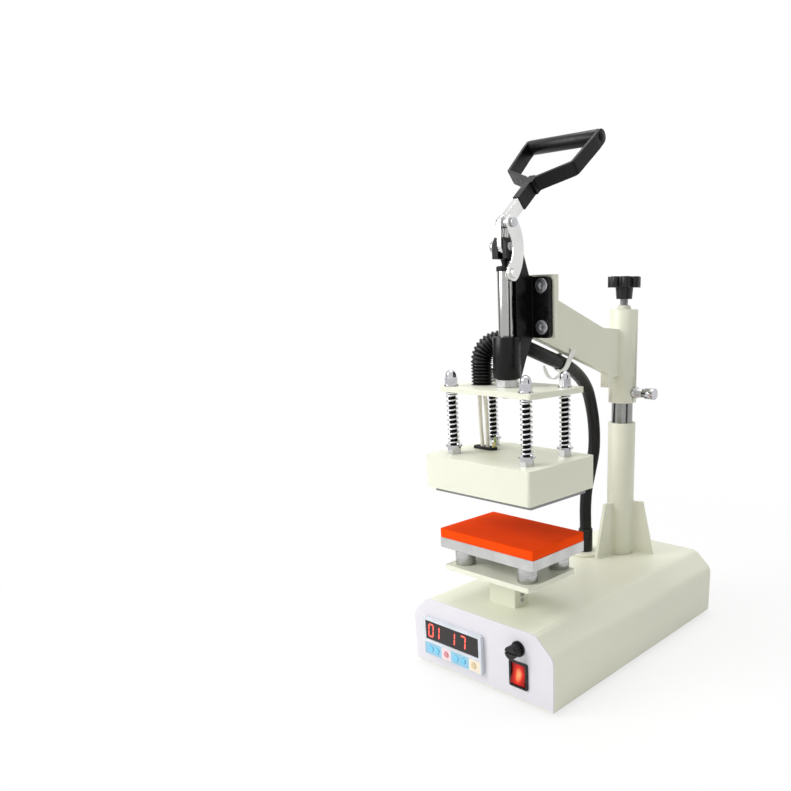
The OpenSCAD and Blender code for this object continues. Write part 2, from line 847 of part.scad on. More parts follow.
// Side view of the arm: it falls from the clamp to the sleeve, with a small lug under its rear end
arm_low = 40.5;
arm_high = 96;
arm_rear_high = 92;
arm_front_low = 0.5;
arm_front_high = 54;
arm_knee = 53;
arm_rear_low = 35;
lug_out = 42;
lug_l = 14;
lug_low = 22.5;
tie_y = -16;
tie_w = 8;
tie_t = 1.5;
tie_rise = 15.4;
face_rim = 4;
face_over = 2;

module arm_outline() {
    rear = column_y;
    lug = column_y - lug_out;
    polygon([[face_y, flange_z + arm_front_low], [lug, sleeve_z + arm_low], [lug, sleeve_z + lug_low],
        [lug + lug_l, sleeve_z + lug_low], [lug + lug_l, sleeve_z + arm_rear_low],
        [rear, sleeve_z + arm_rear_low], [rear, sleeve_z + arm_rear_high],
        [column_y - arm_knee, sleeve_z + arm_high], [face_y, flange_z + arm_front_high]]);
}

// The arm plate and the plate that carries the clamp are welded together
module arm_plate() {
    plate_w = flange_w + 2 * face_rim;
    plate_h = flange_h + face_over;
    color(cream) difference() {
        union() {
            across_x(-arm_t / 2, arm_t / 2) arm_outline();
            translate([-plate_w / 2, face_y, flange_z]) cube([plate_w, face_t, plate_h]);
        }
        at_column(sleeve_z - overcut) cylinder(h = 2 * sleeve_h, d = column_d);
        at_tie() tie_band(tie_w + 2 * fit_clear, fit_clear);
        clamp_holes();
    }
}

// Clamp bolts stand in two rows on the flange
bolt_x = 21.5;
bolt_low = 11.3;
bolt_high = 53.5;
bolt_d = 8;
bolt_head_d = 15;
bolt_head_h = 3;
bolt_socket = 6;
bolt_socket_depth = 2;
bolt_end = 8;
bolt_nut = 13;
bolt_nut_h = 6.5;

module at_clamp_bolts() {
    for (x = [-bolt_x, bolt_x], z = [bolt_low, bolt_high])
        translate([x, face_y, flange_z + z]) children();
}

module clamp_holes() {
    at_clamp_bolts() bar_y(-flange_t - overcut, face_t + overcut, bolt_d + 2 * run_clear);
}

module clamp_bolts() {
    color(bright) at_clamp_bolts() {
        difference() {
            bar_y(-flange_t - bolt_head_h, -flange_t, bolt_head_d);
            translate([0, -flange_t - bolt_head_h - overcut, 0]) rotate([-90, 0, 0])
                cylinder(h = bolt_socket_depth + overcut, d = bolt_socket / cos(30), $fn = 6);
        }
        bar_y(-flange_t, face_t + bolt_end, bolt_d);
        translate([0, face_t, 0]) rotate([-90, 0, 0])
            cylinder(h = bolt_nut_h, d = bolt_nut / cos(30), $fn = 6);
    }
}

// Clamp frame: guide, web, flange and the fork that holds the handle's pivot
rod_gap = 1;
web_t = 14;
fork_front = 6;
fork_back = 12;
fork_low = 12;
fork_high = 8.5;
fork_chamfer = 6.5;
fork_chamfer_x = 4;
slot_spare = 1;
flange_r = 5;
web_knee = 10.5;
ear_top_in = 4;
ear_top_up = 1;
ear_neck_in = 13.5;
ear_neck_down = 3;

module web_outline() {
    front = rod_d / 2 + rod_gap;
    fork_z = pivot_rise + fork_high;
    flange_top = flange_rise + flange_h;
    polygon([[front, 0], [guide_d / 2, 0], [flange_reach - web_knee, flange_rise / 2],
        [flange_reach, flange_rise], [flange_reach + flange_t, flange_rise],
        [flange_reach + flange_t, flange_top], [flange_reach - ear_top_in, flange_top + ear_top_up],
        [flange_reach - ear_neck_in, pivot_rise - ear_neck_down], [fork_back, fork_z], [front, fork_z]]);
}

module clamp_frame() {
    color(black) difference() {
        union() {
            at_press(guide_z) cylinder(h = guide_h, d = guide_d);
            at_press(guide_z) across_x(-web_t / 2, web_t / 2) web_outline();
            translate([0, face_y, flange_z + flange_h / 2]) rotate([90, 0, 0])
                rounded_plate(flange_w, flange_h, flange_t, flange_r);
            at_press(pivot_z) translate([0, fork_back, 0]) rotate([90, 0, 0])
                linear_extrude(fork_back + fork_front) polygon([[-fork_left, -fork_low],
                    [fork_right, -fork_low], [fork_right, fork_high - fork_chamfer],
                    [fork_right - fork_chamfer_x, fork_high], [fork_chamfer_x - fork_left, fork_high],
                    [-fork_left, fork_high - fork_chamfer]]);
        }
        at_press(guide_z - overcut) cylinder(h = guide_h + 2 * overcut, d = rod_d + 2 * run_clear);
        at_press(guide_z + guide_h) cylinder(h = pivot_rise - guide_h - fork_low, d = rod_d + 2 * rod_gap);
        at_press(pivot_z) translate([-lever_t / 2 - move_clear, -2 * fork_front, -fork_low - overcut])
            cube([lever_t + 2 * move_clear, 2 * fork_front + lever_r + slot_spare,
                fork_low + fork_high + 2 * overcut]);
        at_press(pivot_z) bar_x(-2 * fork_left, 2 * fork_left, pin_d + 2 * run_clear);
        clamp_holes();
    }
}

module handle_pivot() {
    color(steel) at_press(pivot_z) {
        bar_x(-fork_left, fork_right, pin_d);
        bar_x(-fork_left - pin_head_h, -fork_left, pin_d + 2 * pin_head_rim);
    }
}

// Index plunger on the sleeve's side
index_pin_d = 5;
index_body_l = 14;
index_nut_l = 5;
index_waist = 1.5;
index_knob_l = 13;
index_neck_l = 4;
index_gap = 0.5;

module index_body() {
    color(steel) at_column(sleeve_z + index_rise) difference() {
        union() {
            bar_x(post_d / 2, column_d / 2 + index_nut_l, 2 * index_r);
            bar_x(post_d / 2, column_d / 2 + index_body_l, 2 * (index_r - index_waist));
        }
        bar_x(0, column_d + index_body_l, index_pin_d + 2 * run_clear);
        translate([0, 0, -column_d / 2]) cylinder(h = column_d, d = column_d);
    }
}

module index_pin() {
    knob_x = column_d / 2 + index_body_l + index_gap;
    color(black) at_column(sleeve_z + index_rise) {
        bar_x(post_d / 2 + move_clear, knob_x, index_pin_d);
        bar_x(knob_x, knob_x + index_neck_l, 2 * (index_r - index_waist));
        bar_x(knob_x + index_neck_l, knob_x + index_neck_l + index_knob_l, 2 * index_r);
    }
}

// Plunger
rod_screw_d = 12;
rod_under_pivot = 20;
rod_top = pivot_z - rod_under_pivot;
rod_nut = 22;
low_nut = 18;
low_nut_h = 5;
rod_end = 1;
rod_low = upper_z - low_nut_h - rod_end;
upper_r = 4;
upper_setback = 6.25;
lead_hole_wall = 1;

module plunger_rod() {
    color(bright) at_press(0) {
        translate([0, 0, upper_top + rod_nut_h]) cylinder(h = rod_top - upper_top - rod_nut_h, d = rod_d);
        translate([0, 0, rod_low]) cylinder(h = upper_top + rod_nut_h - rod_low, d = rod_screw_d);
    }
}

module plunger_nuts() {
    color(steel) {
        at_press(upper_top) hex_nut(rod_nut, rod_nut_h, rod_screw_d + 2 * run_clear);
        at_press(upper_z - low_nut_h) hex_nut(low_nut, low_nut_h, rod_screw_d + 2 * run_clear);
    }
}

module upper_plate() {
    color(cream) at_press(upper_z) difference() {
        translate([0, upper_setback, 0]) rounded_plate(upper_w, upper_d, upper_t, upper_r);
        translate([0, 0, -overcut]) cylinder(h = upper_t + 2 * overcut, d = rod_screw_d + 2 * run_clear);
        at_corners(stud_x, stud_y) translate([0, 0, -overcut])
            cylinder(h = upper_t + 2 * overcut, d = stud_d + 2 * run_clear);
        translate([conduit_x, conduit_y - press_y, -overcut])
            cylinder(h = upper_t + 2 * overcut, d = ribbed_bore - lead_hole_wall);
    }
}

// Handle: a steel lever, bent back above its link pin, between two coated straps
bend_y = 4;
bend_rise = 2.75;
bend_overlap = 6;
bend_z = crank_r + bend_rise;
coat_start = 27;
coat_t = 1.2;
strap_overlap = 8;
strap_join = 59;
strap_corner = 77.5;
strap_corner_in = 4.5;
strap_bend_r = 5;
grip_reach = 129;
strap_even = 10;
lever_w = 13;
loop_drop = -0.3;

module at_handle() {
    at_press(pivot_z) translate([0, bend_y, bend_z]) rotate([handle_tilt, 0, 0]) children();
}

module lever_outline() {
    difference() {
        union() {
            circle(lever_r);
            translate([-lever_r, 0]) square([2 * lever_r, crank_r]);
            translate([0, crank_r]) circle(lever_r);
            translate([bend_y, bend_z]) rotate(handle_tilt)
                translate([-bend_overlap, loop_drop - lever_w / 2])
                square([strap_join + bend_overlap, lever_w]);
        }
        circle(d = pin_d + 2 * run_clear);
        translate([0, crank_r]) circle(d = link_pin_d + 2 * run_clear);
    }
}

module handle_lever() {
    color(bright) at_press(pivot_z) across_x(-lever_t / 2, lever_t / 2) lever_outline();
}

// Strip of even thickness along a bent centre line, seen along the strap's width
function bend_normal(p, i) =
    let (a = i > 0 ? unit(p[i] - p[i - 1]) : unit(p[1] - p[0]),
        b = i < len(p) - 1 ? unit(p[i + 1] - p[i]) : a,
        m = unit([-a[1] - b[1], a[0] + b[0]]))
    m / (m * [-a[1], a[0]]);
function strip(p, t) = concat(
    [for (i = [0:len(p) - 1]) p[i] + t / 2 * bend_normal(p, i)],
    [for (i = [len(p) - 1:-1:0]) p[i] - t / 2 * bend_normal(p, i)]);

// Corner b of a line from a to c, rounded
function rounded_bend(a, b, c, r) =
    let (u = unit(a - b), v = unit(c - b), half = acos(u * v) / 2, reach = r / tan(half),
        centre = b + unit(u + v) * r / sin(half),
        start = b + reach * u - centre, end = b + reach * v - centre)
    [for (i = [0:bend_steps]) centre + r * unit((bend_steps - i) * start + i * end)];

// Centre line of a strap: along the lever, out to its corner, then back to the grip
inner_x = lever_t / 2 + strap_t / 2;
outer_x = handle_w / 2 - strap_t / 2;
strap_points = [[inner_x, strap_join - strap_overlap], [inner_x, strap_join],
    [outer_x - strap_corner_in, strap_corner], [outer_x, grip_reach - strap_even],
    [outer_x, grip_reach + strap_w]];
strap_line = concat([strap_points[0]],
    [for (i = [1, 2])
        each rounded_bend(strap_points[i - 1], strap_points[i], strap_points[i + 1], strap_bend_r)],
    [strap_points[3], strap_points[4]]);

// The straps' coat closes round the lever
module handle_straps() {
    coat_w = lever_t + 2 * coat_t;
    color(black) at_handle() difference() {
        intersection() {
            translate([0, 0, loop_drop - strap_w / 2]) linear_extrude(strap_w) {
                polygon(strip(strap_line, strap_t));
                mirror([1, 0]) polygon(strip(strap_line, strap_t));
                translate([-coat_w / 2, coat_start]) square([coat_w, strap_join + strap_t - coat_start]);
            }
            translate([-handle_w, 0, loop_drop]) rotate([90, 0, 90]) linear_extrude(2 * handle_w) {
                translate([0, -strap_w / 2]) square([grip_reach, strap_w]);
                translate([grip_reach, 0]) circle(strap_w / 2);
            }
        }
        translate([-lever_t / 2, coat_start - overcut, loop_drop - lever_w / 2 - fit_clear])
            cube([lever_t, strap_join - coat_start + overcut + fit_clear, lever_w + 2 * fit_clear]);
    }
}

module handle_grip() {
    color(black) at_handle() translate([0, grip_reach, loop_drop])
        bar_x(strap_t - handle_w / 2, handle_w / 2 - strap_t, grip_d);
}

// Pin between the lever and the link
module link_pin() {
    color(steel) at_press(pivot_z + crank_r) {
        bar_x(-lever_t / 2 - pin_head_h, -lever_t / 2, link_pin_d + 2 * pin_head_rim);
        bar_x(-lever_t / 2, link_x + link_t + link_head_h, link_pin_d);
        bar_x(lever_t / 2, link_x - move_clear, link_pin_d + 2 * pin_head_rim);
        bar_x(link_x + link_t + move_clear, link_x + link_t + move_clear + link_head_h,
            link_pin_d + 2 * link_head_rim);
    }
}

// Crescent link beside the fork, with the stub of its lower pin
link_arc_r = (link_l * link_l / 4 + link_bulge * link_bulge) / (2 * link_bulge);
link_eye_r = 7.8;
stub_head_d = 10;
stub_head_h = 3;
stub_slot_w = 1.2;
stub_slot_t = 1;

module link_outline() {
    half_angle = asin(link_l / 2 / link_arc_r);
    far = 3 * link_arc_r;
    eyes = [[0, 0], [0, -link_l]];
    for (p = eyes)
        translate(p) circle(link_eye_r);
    translate([link_bulge - link_arc_r, -link_l / 2]) intersection() {
        difference() {
            circle(link_arc_r + link_half);
            circle(link_arc_r - link_half);
        }
        polygon([[0, 0], far * [cos(half_angle), sin(half_angle)], [far, 0],
            far * [cos(half_angle), -sin(half_angle)]]);
    }
}

module toggle_link() {
    color(bright) at_press(pivot_z + crank_r) {
        difference() {
            across_x(link_x, link_x + link_t) link_outline();
            bar_x(0, 2 * link_x, link_pin_d + 2 * run_clear);
        }
        translate([0, 0, -link_l]) {
            bar_x(rod_d / 2 + move_clear, link_x, link_pin_d);
            difference() {
                bar_x(link_x + link_t, link_x + link_t + stub_head_h, stub_head_d);
                translate([link_x + link_t + stub_head_h - stub_slot_t, -stub_head_d, -stub_slot_w / 2])
                    cube([stub_slot_t + overcut, 2 * stub_head_d, stub_slot_w]);
            }
        }
    }
}

// Heating head
cover_r = 4;
heat_r = 2;
stud_depth = 10;
grommet_wall = (grommet_d - lead_d) / 2 - fit_clear;
grommet_t = 3;
grommet_edge = 0.1;
element_d = 8;
element_run = 46;
element_r = 20;
washer_t = 1.8;
washer_d = 15.5;
seat_d = 18;
stud_nut = 13;
dome_neck = 2;

module head_cover() {
    color(cream) at_press(cover_z) difference() {
        rounded_plate(head_w, head_d, head_h, cover_r);
        translate([0, 0, -sheet_t]) rounded_plate(head_w - 2 * sheet_t, head_d - 2 * sheet_t, head_h,
            cover_r - sheet_t);
        at_corners(stud_x, stud_y) cylinder(h = head_h + overcut, d = stud_d + 2 * run_clear);
        translate([grommet_x, grommet_y - press_y, head_h - 2 * sheet_t])
            linear_extrude(2 * sheet_t + overcut) grommet_hole();
    }
}

module heating_plate() {
    color(alloy) at_press(heat_z) difference() {
        rounded_plate(heat_w, heat_d, heat_t, heat_r);
        at_corners(stud_x, stud_y) translate([0, 0, heat_t - stud_depth])
            cylinder(h = stud_depth + overcut, d = stud_d + 2 * run_clear);
    }
}

// Tubular element, bent to a long loop on the heating plate
module heating_element() {
    color(steel) at_press(heat_z + heat_t + element_d / 2) {
        for (y = [-element_r, element_r])
            translate([0, y, 0]) bar_x(-element_run, element_run, element_d);
        translate([element_run, 0, 0]) rotate([0, 0, -90]) rotate_extrude(angle = 180)
            translate([element_r, 0]) circle(element_d / 2);
    }
}

module guide_studs() {
    low = heat_z + heat_t - stud_depth;
    color(bright) at_press(low) at_corners(stud_x, stud_y)
        cylinder(h = upper_top + dome_base_h - low, d = stud_d);
}

// Hexagon nuts on the head, each with a spring seat, and domed nuts above the upper plate
module stud_nuts() {
    bore = stud_d + 2 * run_clear;
    dome_top = dome_base_h + dome_neck;
    color(bright) {
        at_press(head_top) at_corners(stud_x, stud_y) {
            hex_nut(stud_nut, stud_nut_h - washer_t, bore);
            translate([0, 0, stud_nut_h - washer_t]) difference() {
                cylinder(h = washer_t, d = seat_d);
                translate([0, 0, -overcut]) cylinder(h = washer_t + 2 * overcut, d = bore);
            }
        }
        at_press(upper_top) at_corners(stud_x, stud_y) difference() {
            union() {
                cylinder(h = washer_t, d = washer_d);
                cylinder(h = dome_base_h, d = dome_nut / cos(30), $fn = 6);
                cylinder(h = dome_top, r = dome_r);
                translate([0, 0, dome_top]) intersection() {
                    sphere(dome_r);
                    cylinder(h = 2 * dome_r, r = 2 * dome_r);
                }
            }
            translate([0, 0, -overcut]) cylinder(h = dome_base_h + overcut, d = bore);
        }
    }
}

module wire_grommet() {
    color(black) translate([grommet_x, grommet_y, head_top]) difference() {
        rounded_plate(grommet_w, grommet_d, grommet_t, grommet_d / 2 - grommet_edge);
        translate([0, 0, -overcut]) linear_extrude(grommet_t + 2 * overcut) grommet_hole();
    }
}

module grommet_hole() {
    hole_d = grommet_d - 2 * grommet_wall;
    rounded_rect(grommet_w - 2 * grommet_wall, hole_d, hole_d / 2 - grommet_edge);
}

// Head springs: one helix round each stud, between its nut and the upper plate
spring_rings = 8;
spring_low = head_top + stud_nut_h;
spring_r = spring_d / 2 - spring_wire / 2;
spring_end = 0.15;
spring_rise = upper_z - spring_low - spring_wire - 2 * spring_end;
spring_steps = spring_turns * spring_rings;
function spring_centre(i) =
    let (a = 360 * i / spring_rings)
    [spring_r * cos(a), spring_r * sin(a), spring_wire / 2 + spring_end + spring_rise * i / spring_steps];
spring_points = [for (i = [0:spring_steps]) spring_centre(i)];
spring_gap = min([for (i = [0:spring_steps - spring_rings + 2], j = [i + spring_rings - 2:spring_steps])
    norm(spring_points[i] - spring_points[j])]) - spring_wire;
echo(head_spring_least_gap = spring_gap);

module coil() {
    sides = 6;
    points = [for (i = [0:spring_steps])
        let (a = 360 * i / spring_rings, u = [cos(a), sin(a), 0])
        each ring_points(spring_points[i], u, [0, 0, 1], spring_wire / 2, sides)];
    polyhedron(points = points, faces = concat(side_faces(spring_steps + 1, sides),
        cap_faces(0, sides, true), cap_faces(spring_steps * sides, sides, false)));
}

module head_springs() {
    color(bright) at_press(spring_low) at_corners(stud_x, stud_y) coil();
}

// Routes of the hoses and leads, in the part's own places
lower_route = [[-33, 70, 99], [-33, 70, 127], [-33, 69.6, 140], [-33, 69.5, 155], [-33, 72, 179],
    [-32, 79, 205], [-31, 85, 230], [-31, 86, 252], [-31, 83, 276], [-30, 75, 299], [-27, 64, 315]];
upper_route = [[-27, 64, 315], [-22, 45, 330], [-16, 23, 341], [-10, 1, 349], [-6, -18, 355],
    [-4, -39, 361], [-4, -57, 367], [-7, -72, 373], [-14, -83, 377.5], [-21, -93, 381], [-24, -97, 382]];
hose_joint_gap = 0.2;
hose_joint_way = unit(upper_route[1] - lower_route[len(lower_route) - 2]);
upper_line = [for (i = [0:len(upper_route) - 1])
    upper_route[i] + (i == 0 ? hose_joint_gap * hose_joint_way : [0, 0, 0])];
lead_routes = [
    [[-42, -117, 333], [-45, -114, 314], [-49, -110, 296], [-50, -108, 278], [-49, -108, 263]],
    [[-35, -117, 333], [-37, -113, 314], [-40, -109, 296], [-41, -108, 278], [-41, -108, 263]]];

// Tie drawn round the hose and through a slot in the arm plate, square to the hose's slope
tie_ease = 1.2;
tie_near = 0.5;
tie_far = 1.9;
tie_near_lean = 0.5;
tie_far_lean = 1.34;
tie_run = upper_route[4] - upper_route[3];
tie_hose = upper_route[3] + tie_run * (tie_y - upper_route[3][1]) / tie_run[1];

module at_tie() {
    translate([0, tie_y, tie_hose[2]]) rotate([90 + atan(tie_run[2] / tie_run[1]), 0, 0]) children();
}

// Where a line from p touches the circle of radius r round c, on its left or right side
function touch_point(c, r, p, side) =
    let (d = p - c, a = atan2(d[1], d[0]) + side * acos(r / norm(d)))
    c + r * [cos(a), sin(a)];

module tie_outline(grow) {
    c = [tie_hose[0], 0];
    r = hose_d / 2 + tie_ease + grow;
    near = [-arm_t / 2 - tie_near - grow * tie_near_lean, tie_rise + grow];
    far = [arm_t / 2 + tie_far + grow * tie_far_lean, tie_rise + grow];
    translate(c) circle(r);
    polygon([near, touch_point(c, r, near, 1), touch_point(c, r, far, -1), far]);
}

// The band itself, or with a clearance the slot that it passes through
module tie_band(width, clear) {
    translate([0, 0, -width / 2]) linear_extrude(width) difference() {
        tie_outline(tie_t + clear);
        tie_outline(-clear);
    }
}

module hose_tie() {
    color([0.93, 0.93, 0.9]) at_tie() tie_band(tie_w, 0);
}

module hose_lower() {
    color(black) tube_along(lower_route, hose_d, 12, last = hose_joint_way);
}

module hose_upper() {
    color(black) tube_along(upper_line, hose_d, 12, first = hose_joint_way);
}

module heater_leads() {
    color([0.9, 0.88, 0.8]) for (route = lead_routes)
        tube_along(route, lead_d, 8);
}

// Ribbed hose: straight up from the upper plate, then bent over behind the guide
ribbed_straight = ribbed_d;
ribbed_bend_r = 22;
ribbed_bend = 106;
ribbed_heading = [0.6, 0.8, 0];
ribbed_arc = ribbed_bend_r * ribbed_bend * PI / 180;
rib_count = floor((ribbed_straight + ribbed_arc) / rib_pitch);
rib_depth = 1.6;
function ribbed_centre(s) =
    let (a = max(0, s - ribbed_straight) / ribbed_bend_r * 180 / PI)
    [conduit_x, conduit_y, upper_top] + [0, 0, min(s, ribbed_straight) + ribbed_bend_r * sin(a)]
        + ribbed_bend_r * (1 - cos(a)) * ribbed_heading;
function ribbed_ring(s, r, sides) =
    let (a = max(0, s - ribbed_straight) / ribbed_bend_r * 180 / PI,
        u = [ribbed_heading[1], -ribbed_heading[0], 0],
        v = cos(a) * ribbed_heading - [0, 0, sin(a)])
    ring_points(ribbed_centre(s), u, v, r, sides);

module hose_ribbed() {
    sides = 8;
    rings = 2 * rib_count + 1;
    length = ribbed_straight + ribbed_arc;
    outer = [for (i = [0:rings - 1])
        each ribbed_ring(length * i / (rings - 1), ribbed_d / 2 - (i % 2 == 0 ? rib_depth : 0), sides)];
    inner = [for (i = [0:rings - 1])
        each ribbed_ring(length * i / (rings - 1), ribbed_bore / 2, sides)];
    n = len(outer);
    last = n - sides;
    outer_faces = side_faces(rings, sides);
    inner_faces = [for (f = outer_faces) [f[0] + n, f[2] + n, f[1] + n]];
    end_faces = [for (k = [0:sides - 1], h = [0, 1])
        let (m = (k + 1) % sides)
        each (h == 0
            ? [[k, m, k + n], [m, m + n, k + n]]
            : [[last + k, last + k + n, last + m], [last + m, last + k + n, last + m + n]])];
    color(black) polyhedron(points = concat(outer, inner),
        faces = concat(outer_faces, inner_faces, end_faces));
}

// The whole part is shifted so that its origin lies under the middle of its outline
module place() {
    translate([0, centre_shift, 0]) children();
}

place() base_housing();
place() front_panel();
place() bottom_cover();
place() cover_screws();
place() rubber_feet();
place() controller_case();
place() display_window();
place() key_panel();
place() key_1();
place() key_2();
place() key_3();
place() key_4();
place() key_5();
place() key_6();
place() rocker_frame();
place() rocker();
place() fuse_holder();
place() fuse_cap();
place() mains_inlet();
place() power_relay();
place() column();
place() post();
place() gland_flange();
place() hose_fitting();
place() platen_pedestal();
place() platen_carrier();
place() platen_standoffs();
place() platen_screws();
place() lower_platen();
place() silicone_pad();
place() thrust_pad();
place() star_knob();
place() height_screw();
place() arm_sleeve();
place() arm_plate();
place() clamp_frame();
place() clamp_bolts();
place() handle_pivot();
place() index_body();
place() index_pin();
place() hose_tie();
place() plunger_rod();
place() plunger_nuts();
place() upper_plate();
place() handle_lever();
place() handle_straps();
place() handle_grip();
place() link_pin();
place() toggle_link();
place() head_cover();
place() heating_plate();
place() heating_element();
place() guide_studs();
place() stud_nuts();
place() wire_grommet();
place() head_springs();
place() hose_lower();
place() hose_upper();
place() hose_ribbed();
place() heater_leads();
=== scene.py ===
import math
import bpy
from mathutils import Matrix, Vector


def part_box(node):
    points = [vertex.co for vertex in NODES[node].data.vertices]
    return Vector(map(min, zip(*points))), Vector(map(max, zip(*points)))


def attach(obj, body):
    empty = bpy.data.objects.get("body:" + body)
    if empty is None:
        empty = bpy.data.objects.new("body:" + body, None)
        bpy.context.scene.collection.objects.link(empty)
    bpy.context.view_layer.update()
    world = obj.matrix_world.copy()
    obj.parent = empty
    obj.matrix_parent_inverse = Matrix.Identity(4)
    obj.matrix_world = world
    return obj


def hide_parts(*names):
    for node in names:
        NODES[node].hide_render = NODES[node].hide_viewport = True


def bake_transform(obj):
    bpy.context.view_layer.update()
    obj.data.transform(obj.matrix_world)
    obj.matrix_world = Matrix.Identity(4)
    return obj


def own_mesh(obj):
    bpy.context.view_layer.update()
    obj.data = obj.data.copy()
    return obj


bl_info = {
    "name": "Label heat press",
    "version": (1, 0, 0),
    "blender": (4, 5, 0),
    "location": "3D View > Sidebar > Heat press",
    "description": "Dresses the heat press frame with its finishes, hoses, springs and small fittings",
    "category": "Object",
}

import bpy
from mathutils import Matrix, Vector

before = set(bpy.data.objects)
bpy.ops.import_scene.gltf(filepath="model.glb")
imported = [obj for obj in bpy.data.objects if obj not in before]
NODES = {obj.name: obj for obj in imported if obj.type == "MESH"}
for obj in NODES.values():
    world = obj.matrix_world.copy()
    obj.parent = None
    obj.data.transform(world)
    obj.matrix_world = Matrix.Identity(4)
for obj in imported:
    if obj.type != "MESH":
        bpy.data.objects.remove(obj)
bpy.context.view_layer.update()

MM = 0.001
# Axes of the plunger and of the column, and the places of the head's four studs
PRESS = Vector((0.0, -0.111, 0.0))
COLUMN = Vector((0.0, 0.111, 0.0))
STUDS = [(x, PRESS.y + y) for x in (-0.0535, 0.0535) for y in (-0.0315, 0.0315)]
EARTH_STUD = STUDS[1]

# Routes are in millimetres from the middle of the base, which stands this far behind the frame's origin
ROUTE_SHIFT = 5.5
LOWER_HOSE = [
    (-33, 70, 99), (-33, 70, 127), (-33, 69.6, 140), (-33, 69.5, 155), (-33, 72, 179), (-32, 79, 205),
    (-31, 85, 230), (-31, 86, 252), (-31, 83, 276), (-30, 75, 299), (-27, 64, 315),
]
UPPER_HOSE = [
    (-27, 64, 315), (-22, 45, 330), (-16, 23, 341), (-10, 1, 349), (-6, -18, 355), (-4, -39, 361),
    (-4, -57, 367), (-7, -72, 373), (-14, -83, 377.5), (-21, -93, 381), (-24, -97, 382),
]
HEATER_LEADS = [
    [(-42, -117, 333), (-45, -114, 314), (-49, -110, 296), (-50, -108, 278), (-49, -108, 263)],
    [(-35, -117, 333), (-37, -113, 314), (-40, -109, 296), (-41, -108, 278), (-41, -108, 263)],
]
EARTH_LEAD = [
    (-33.5, -108, 262), (-32.5, -106, 268), (-34.5, -102, 273), (-39.5, -97, 273), (-43.5, -93, 269),
]
TIE_TAIL = [
    (-6.4, -16, 344), (-6.4, -20, 340.5), (-6.2, -25, 338), (-6, -31, 337), (-6, -38, 339), (-6, -44, 345),
    (-6, -48, 353),
]

# The wave texture runs through 20 radians over one unit of its scale along an axis. On the diagonal, its
# bands come out about a seventh wider than asked for
AXIS_WAVE = math.tau / 20
DIAGONAL_WAVE = 2 / math.tau
# Edges of swept, round pieces stay smooth up to this angle, in degrees
SWEPT_ANGLE = 60


# Colours and nodes

def linear(code):
    """Linear colour of an sRGB hex value."""
    parts = [int(code[i:i + 2], 16) / 255 for i in (1, 3, 5)]
    return [c / 12.92 if c <= 0.04045 else ((c + 0.055) / 1.055) ** 2.4 for c in parts]


def shade(colour, factor):
    """The same colour, darker or lighter, with its alpha."""
    return [min(1.0, c * factor) for c in colour[:3]] + [1.0]


def per_mm(size):
    """Texture scale, in metres, of a pattern whose features are that many millimetres wide."""
    return 1000.0 / size


def add(tree, kind, inputs=None, stops=None, **settings):
    """Adds a shader node with its settings, its links or values, and the colour stops of a ramp."""
    node = tree.nodes.new("ShaderNode" + kind)
    for key, value in settings.items():
        setattr(node, key, value)
    for key, value in (inputs or {}).items():
        if isinstance(value, bpy.types.NodeSocket):
            tree.links.new(value, node.inputs[key])
        else:
            node.inputs[key].default_value = value
    if stops:
        ramp = node.color_ramp.elements
        while len(ramp) < len(stops):
            ramp.new(0.5)
        for element, (position, colour) in zip(ramp, stops):
            element.position = position
            element.color = colour
    return node


class Surface:
    """A material in the making, with its node tree, its shader and the place of each point on its piece."""

    def __init__(self, name, colour, **values):
        self.material = bpy.data.materials.new(name)
        self.material.use_nodes = True
        self.tree = self.material.node_tree
        self.shader = self.tree.nodes["Principled BSDF"]
        self.shader.inputs["Base Color"].default_value = shade(colour, 1.0)
        for key, value in values.items():
            self.shader.inputs[key.replace("_", " ")].default_value = value
        self.place = add(self.tree, "TexCoord").outputs["Object"]

    def texture(self, kind, scale, **inputs):
        """A texture laid over the piece."""
        return add(self.tree, kind, {"Vector": self.place, "Scale": scale, **inputs})

    def tint(self, pattern, stops, socket="Base Color"):
        """Colours the surface, or its light, by a pattern through stops of place, colour and brightness."""
        ramp = add(self.tree, "ValToRGB", {"Fac": pattern},
                   stops=[(position, shade(colour, factor)) for position, colour, factor in stops])
        self.tree.links.new(ramp.outputs["Color"], self.shader.inputs[socket])
        return ramp

    def drift(self, size, colour, low, high):
        """Lets the colour drift between two near tones over patches of that many millimetres."""
        cloud = self.texture("TexNoise", per_mm(size), Detail=3.0)
        self.tint(cloud.outputs[0], ((0.32, colour, low), (0.68, colour, high)))
        return cloud

    def lines(self, squeeze, size, detail):
        """A noise of that many millimetres, drawn out into lines along the axes that are squeezed."""
        drawn = add(self.tree, "Mapping", {"Vector": self.place, "Scale": squeeze}).outputs["Vector"]
        noise = add(self.tree, "TexNoise", {"Vector": drawn, "Scale": per_mm(size), "Detail": detail})
        return noise.outputs[0]

    def relief(self, height, depth, strength):
        """Raises the surface by a height pattern, that many millimetres deep."""
        bump = add(self.tree, "Bump", {"Height": height, "Distance": depth * MM, "Strength": strength})
        self.tree.links.new(bump.outputs["Normal"], self.shader.inputs["Normal"])

    def gloss(self, pattern, low, high):
        """Lets the gloss vary with a pattern between two roughness values."""
        spread = add(self.tree, "MapRange", {"Value": pattern, "From Min": 0.3, "From Max": 0.7,
                                             "To Min": low, "To Max": high})
        self.tree.links.new(spread.outputs["Result"], self.shader.inputs["Roughness"])


# Materials

def powder_coat(name, colour):
    """Powder coat on sheet steel, sprayed and baked: a soft sheen over a shallow orange peel."""
    s = Surface(name, colour, Roughness=0.4, IOR=1.5)
    s.drift(90, colour, 0.965, 1.0)
    peel = s.texture("TexNoise", per_mm(2.2), Detail=1.0)
    s.gloss(peel.outputs[0], 0.36, 0.46)
    s.relief(peel.outputs[0], 0.05, 0.35)
    return s.material


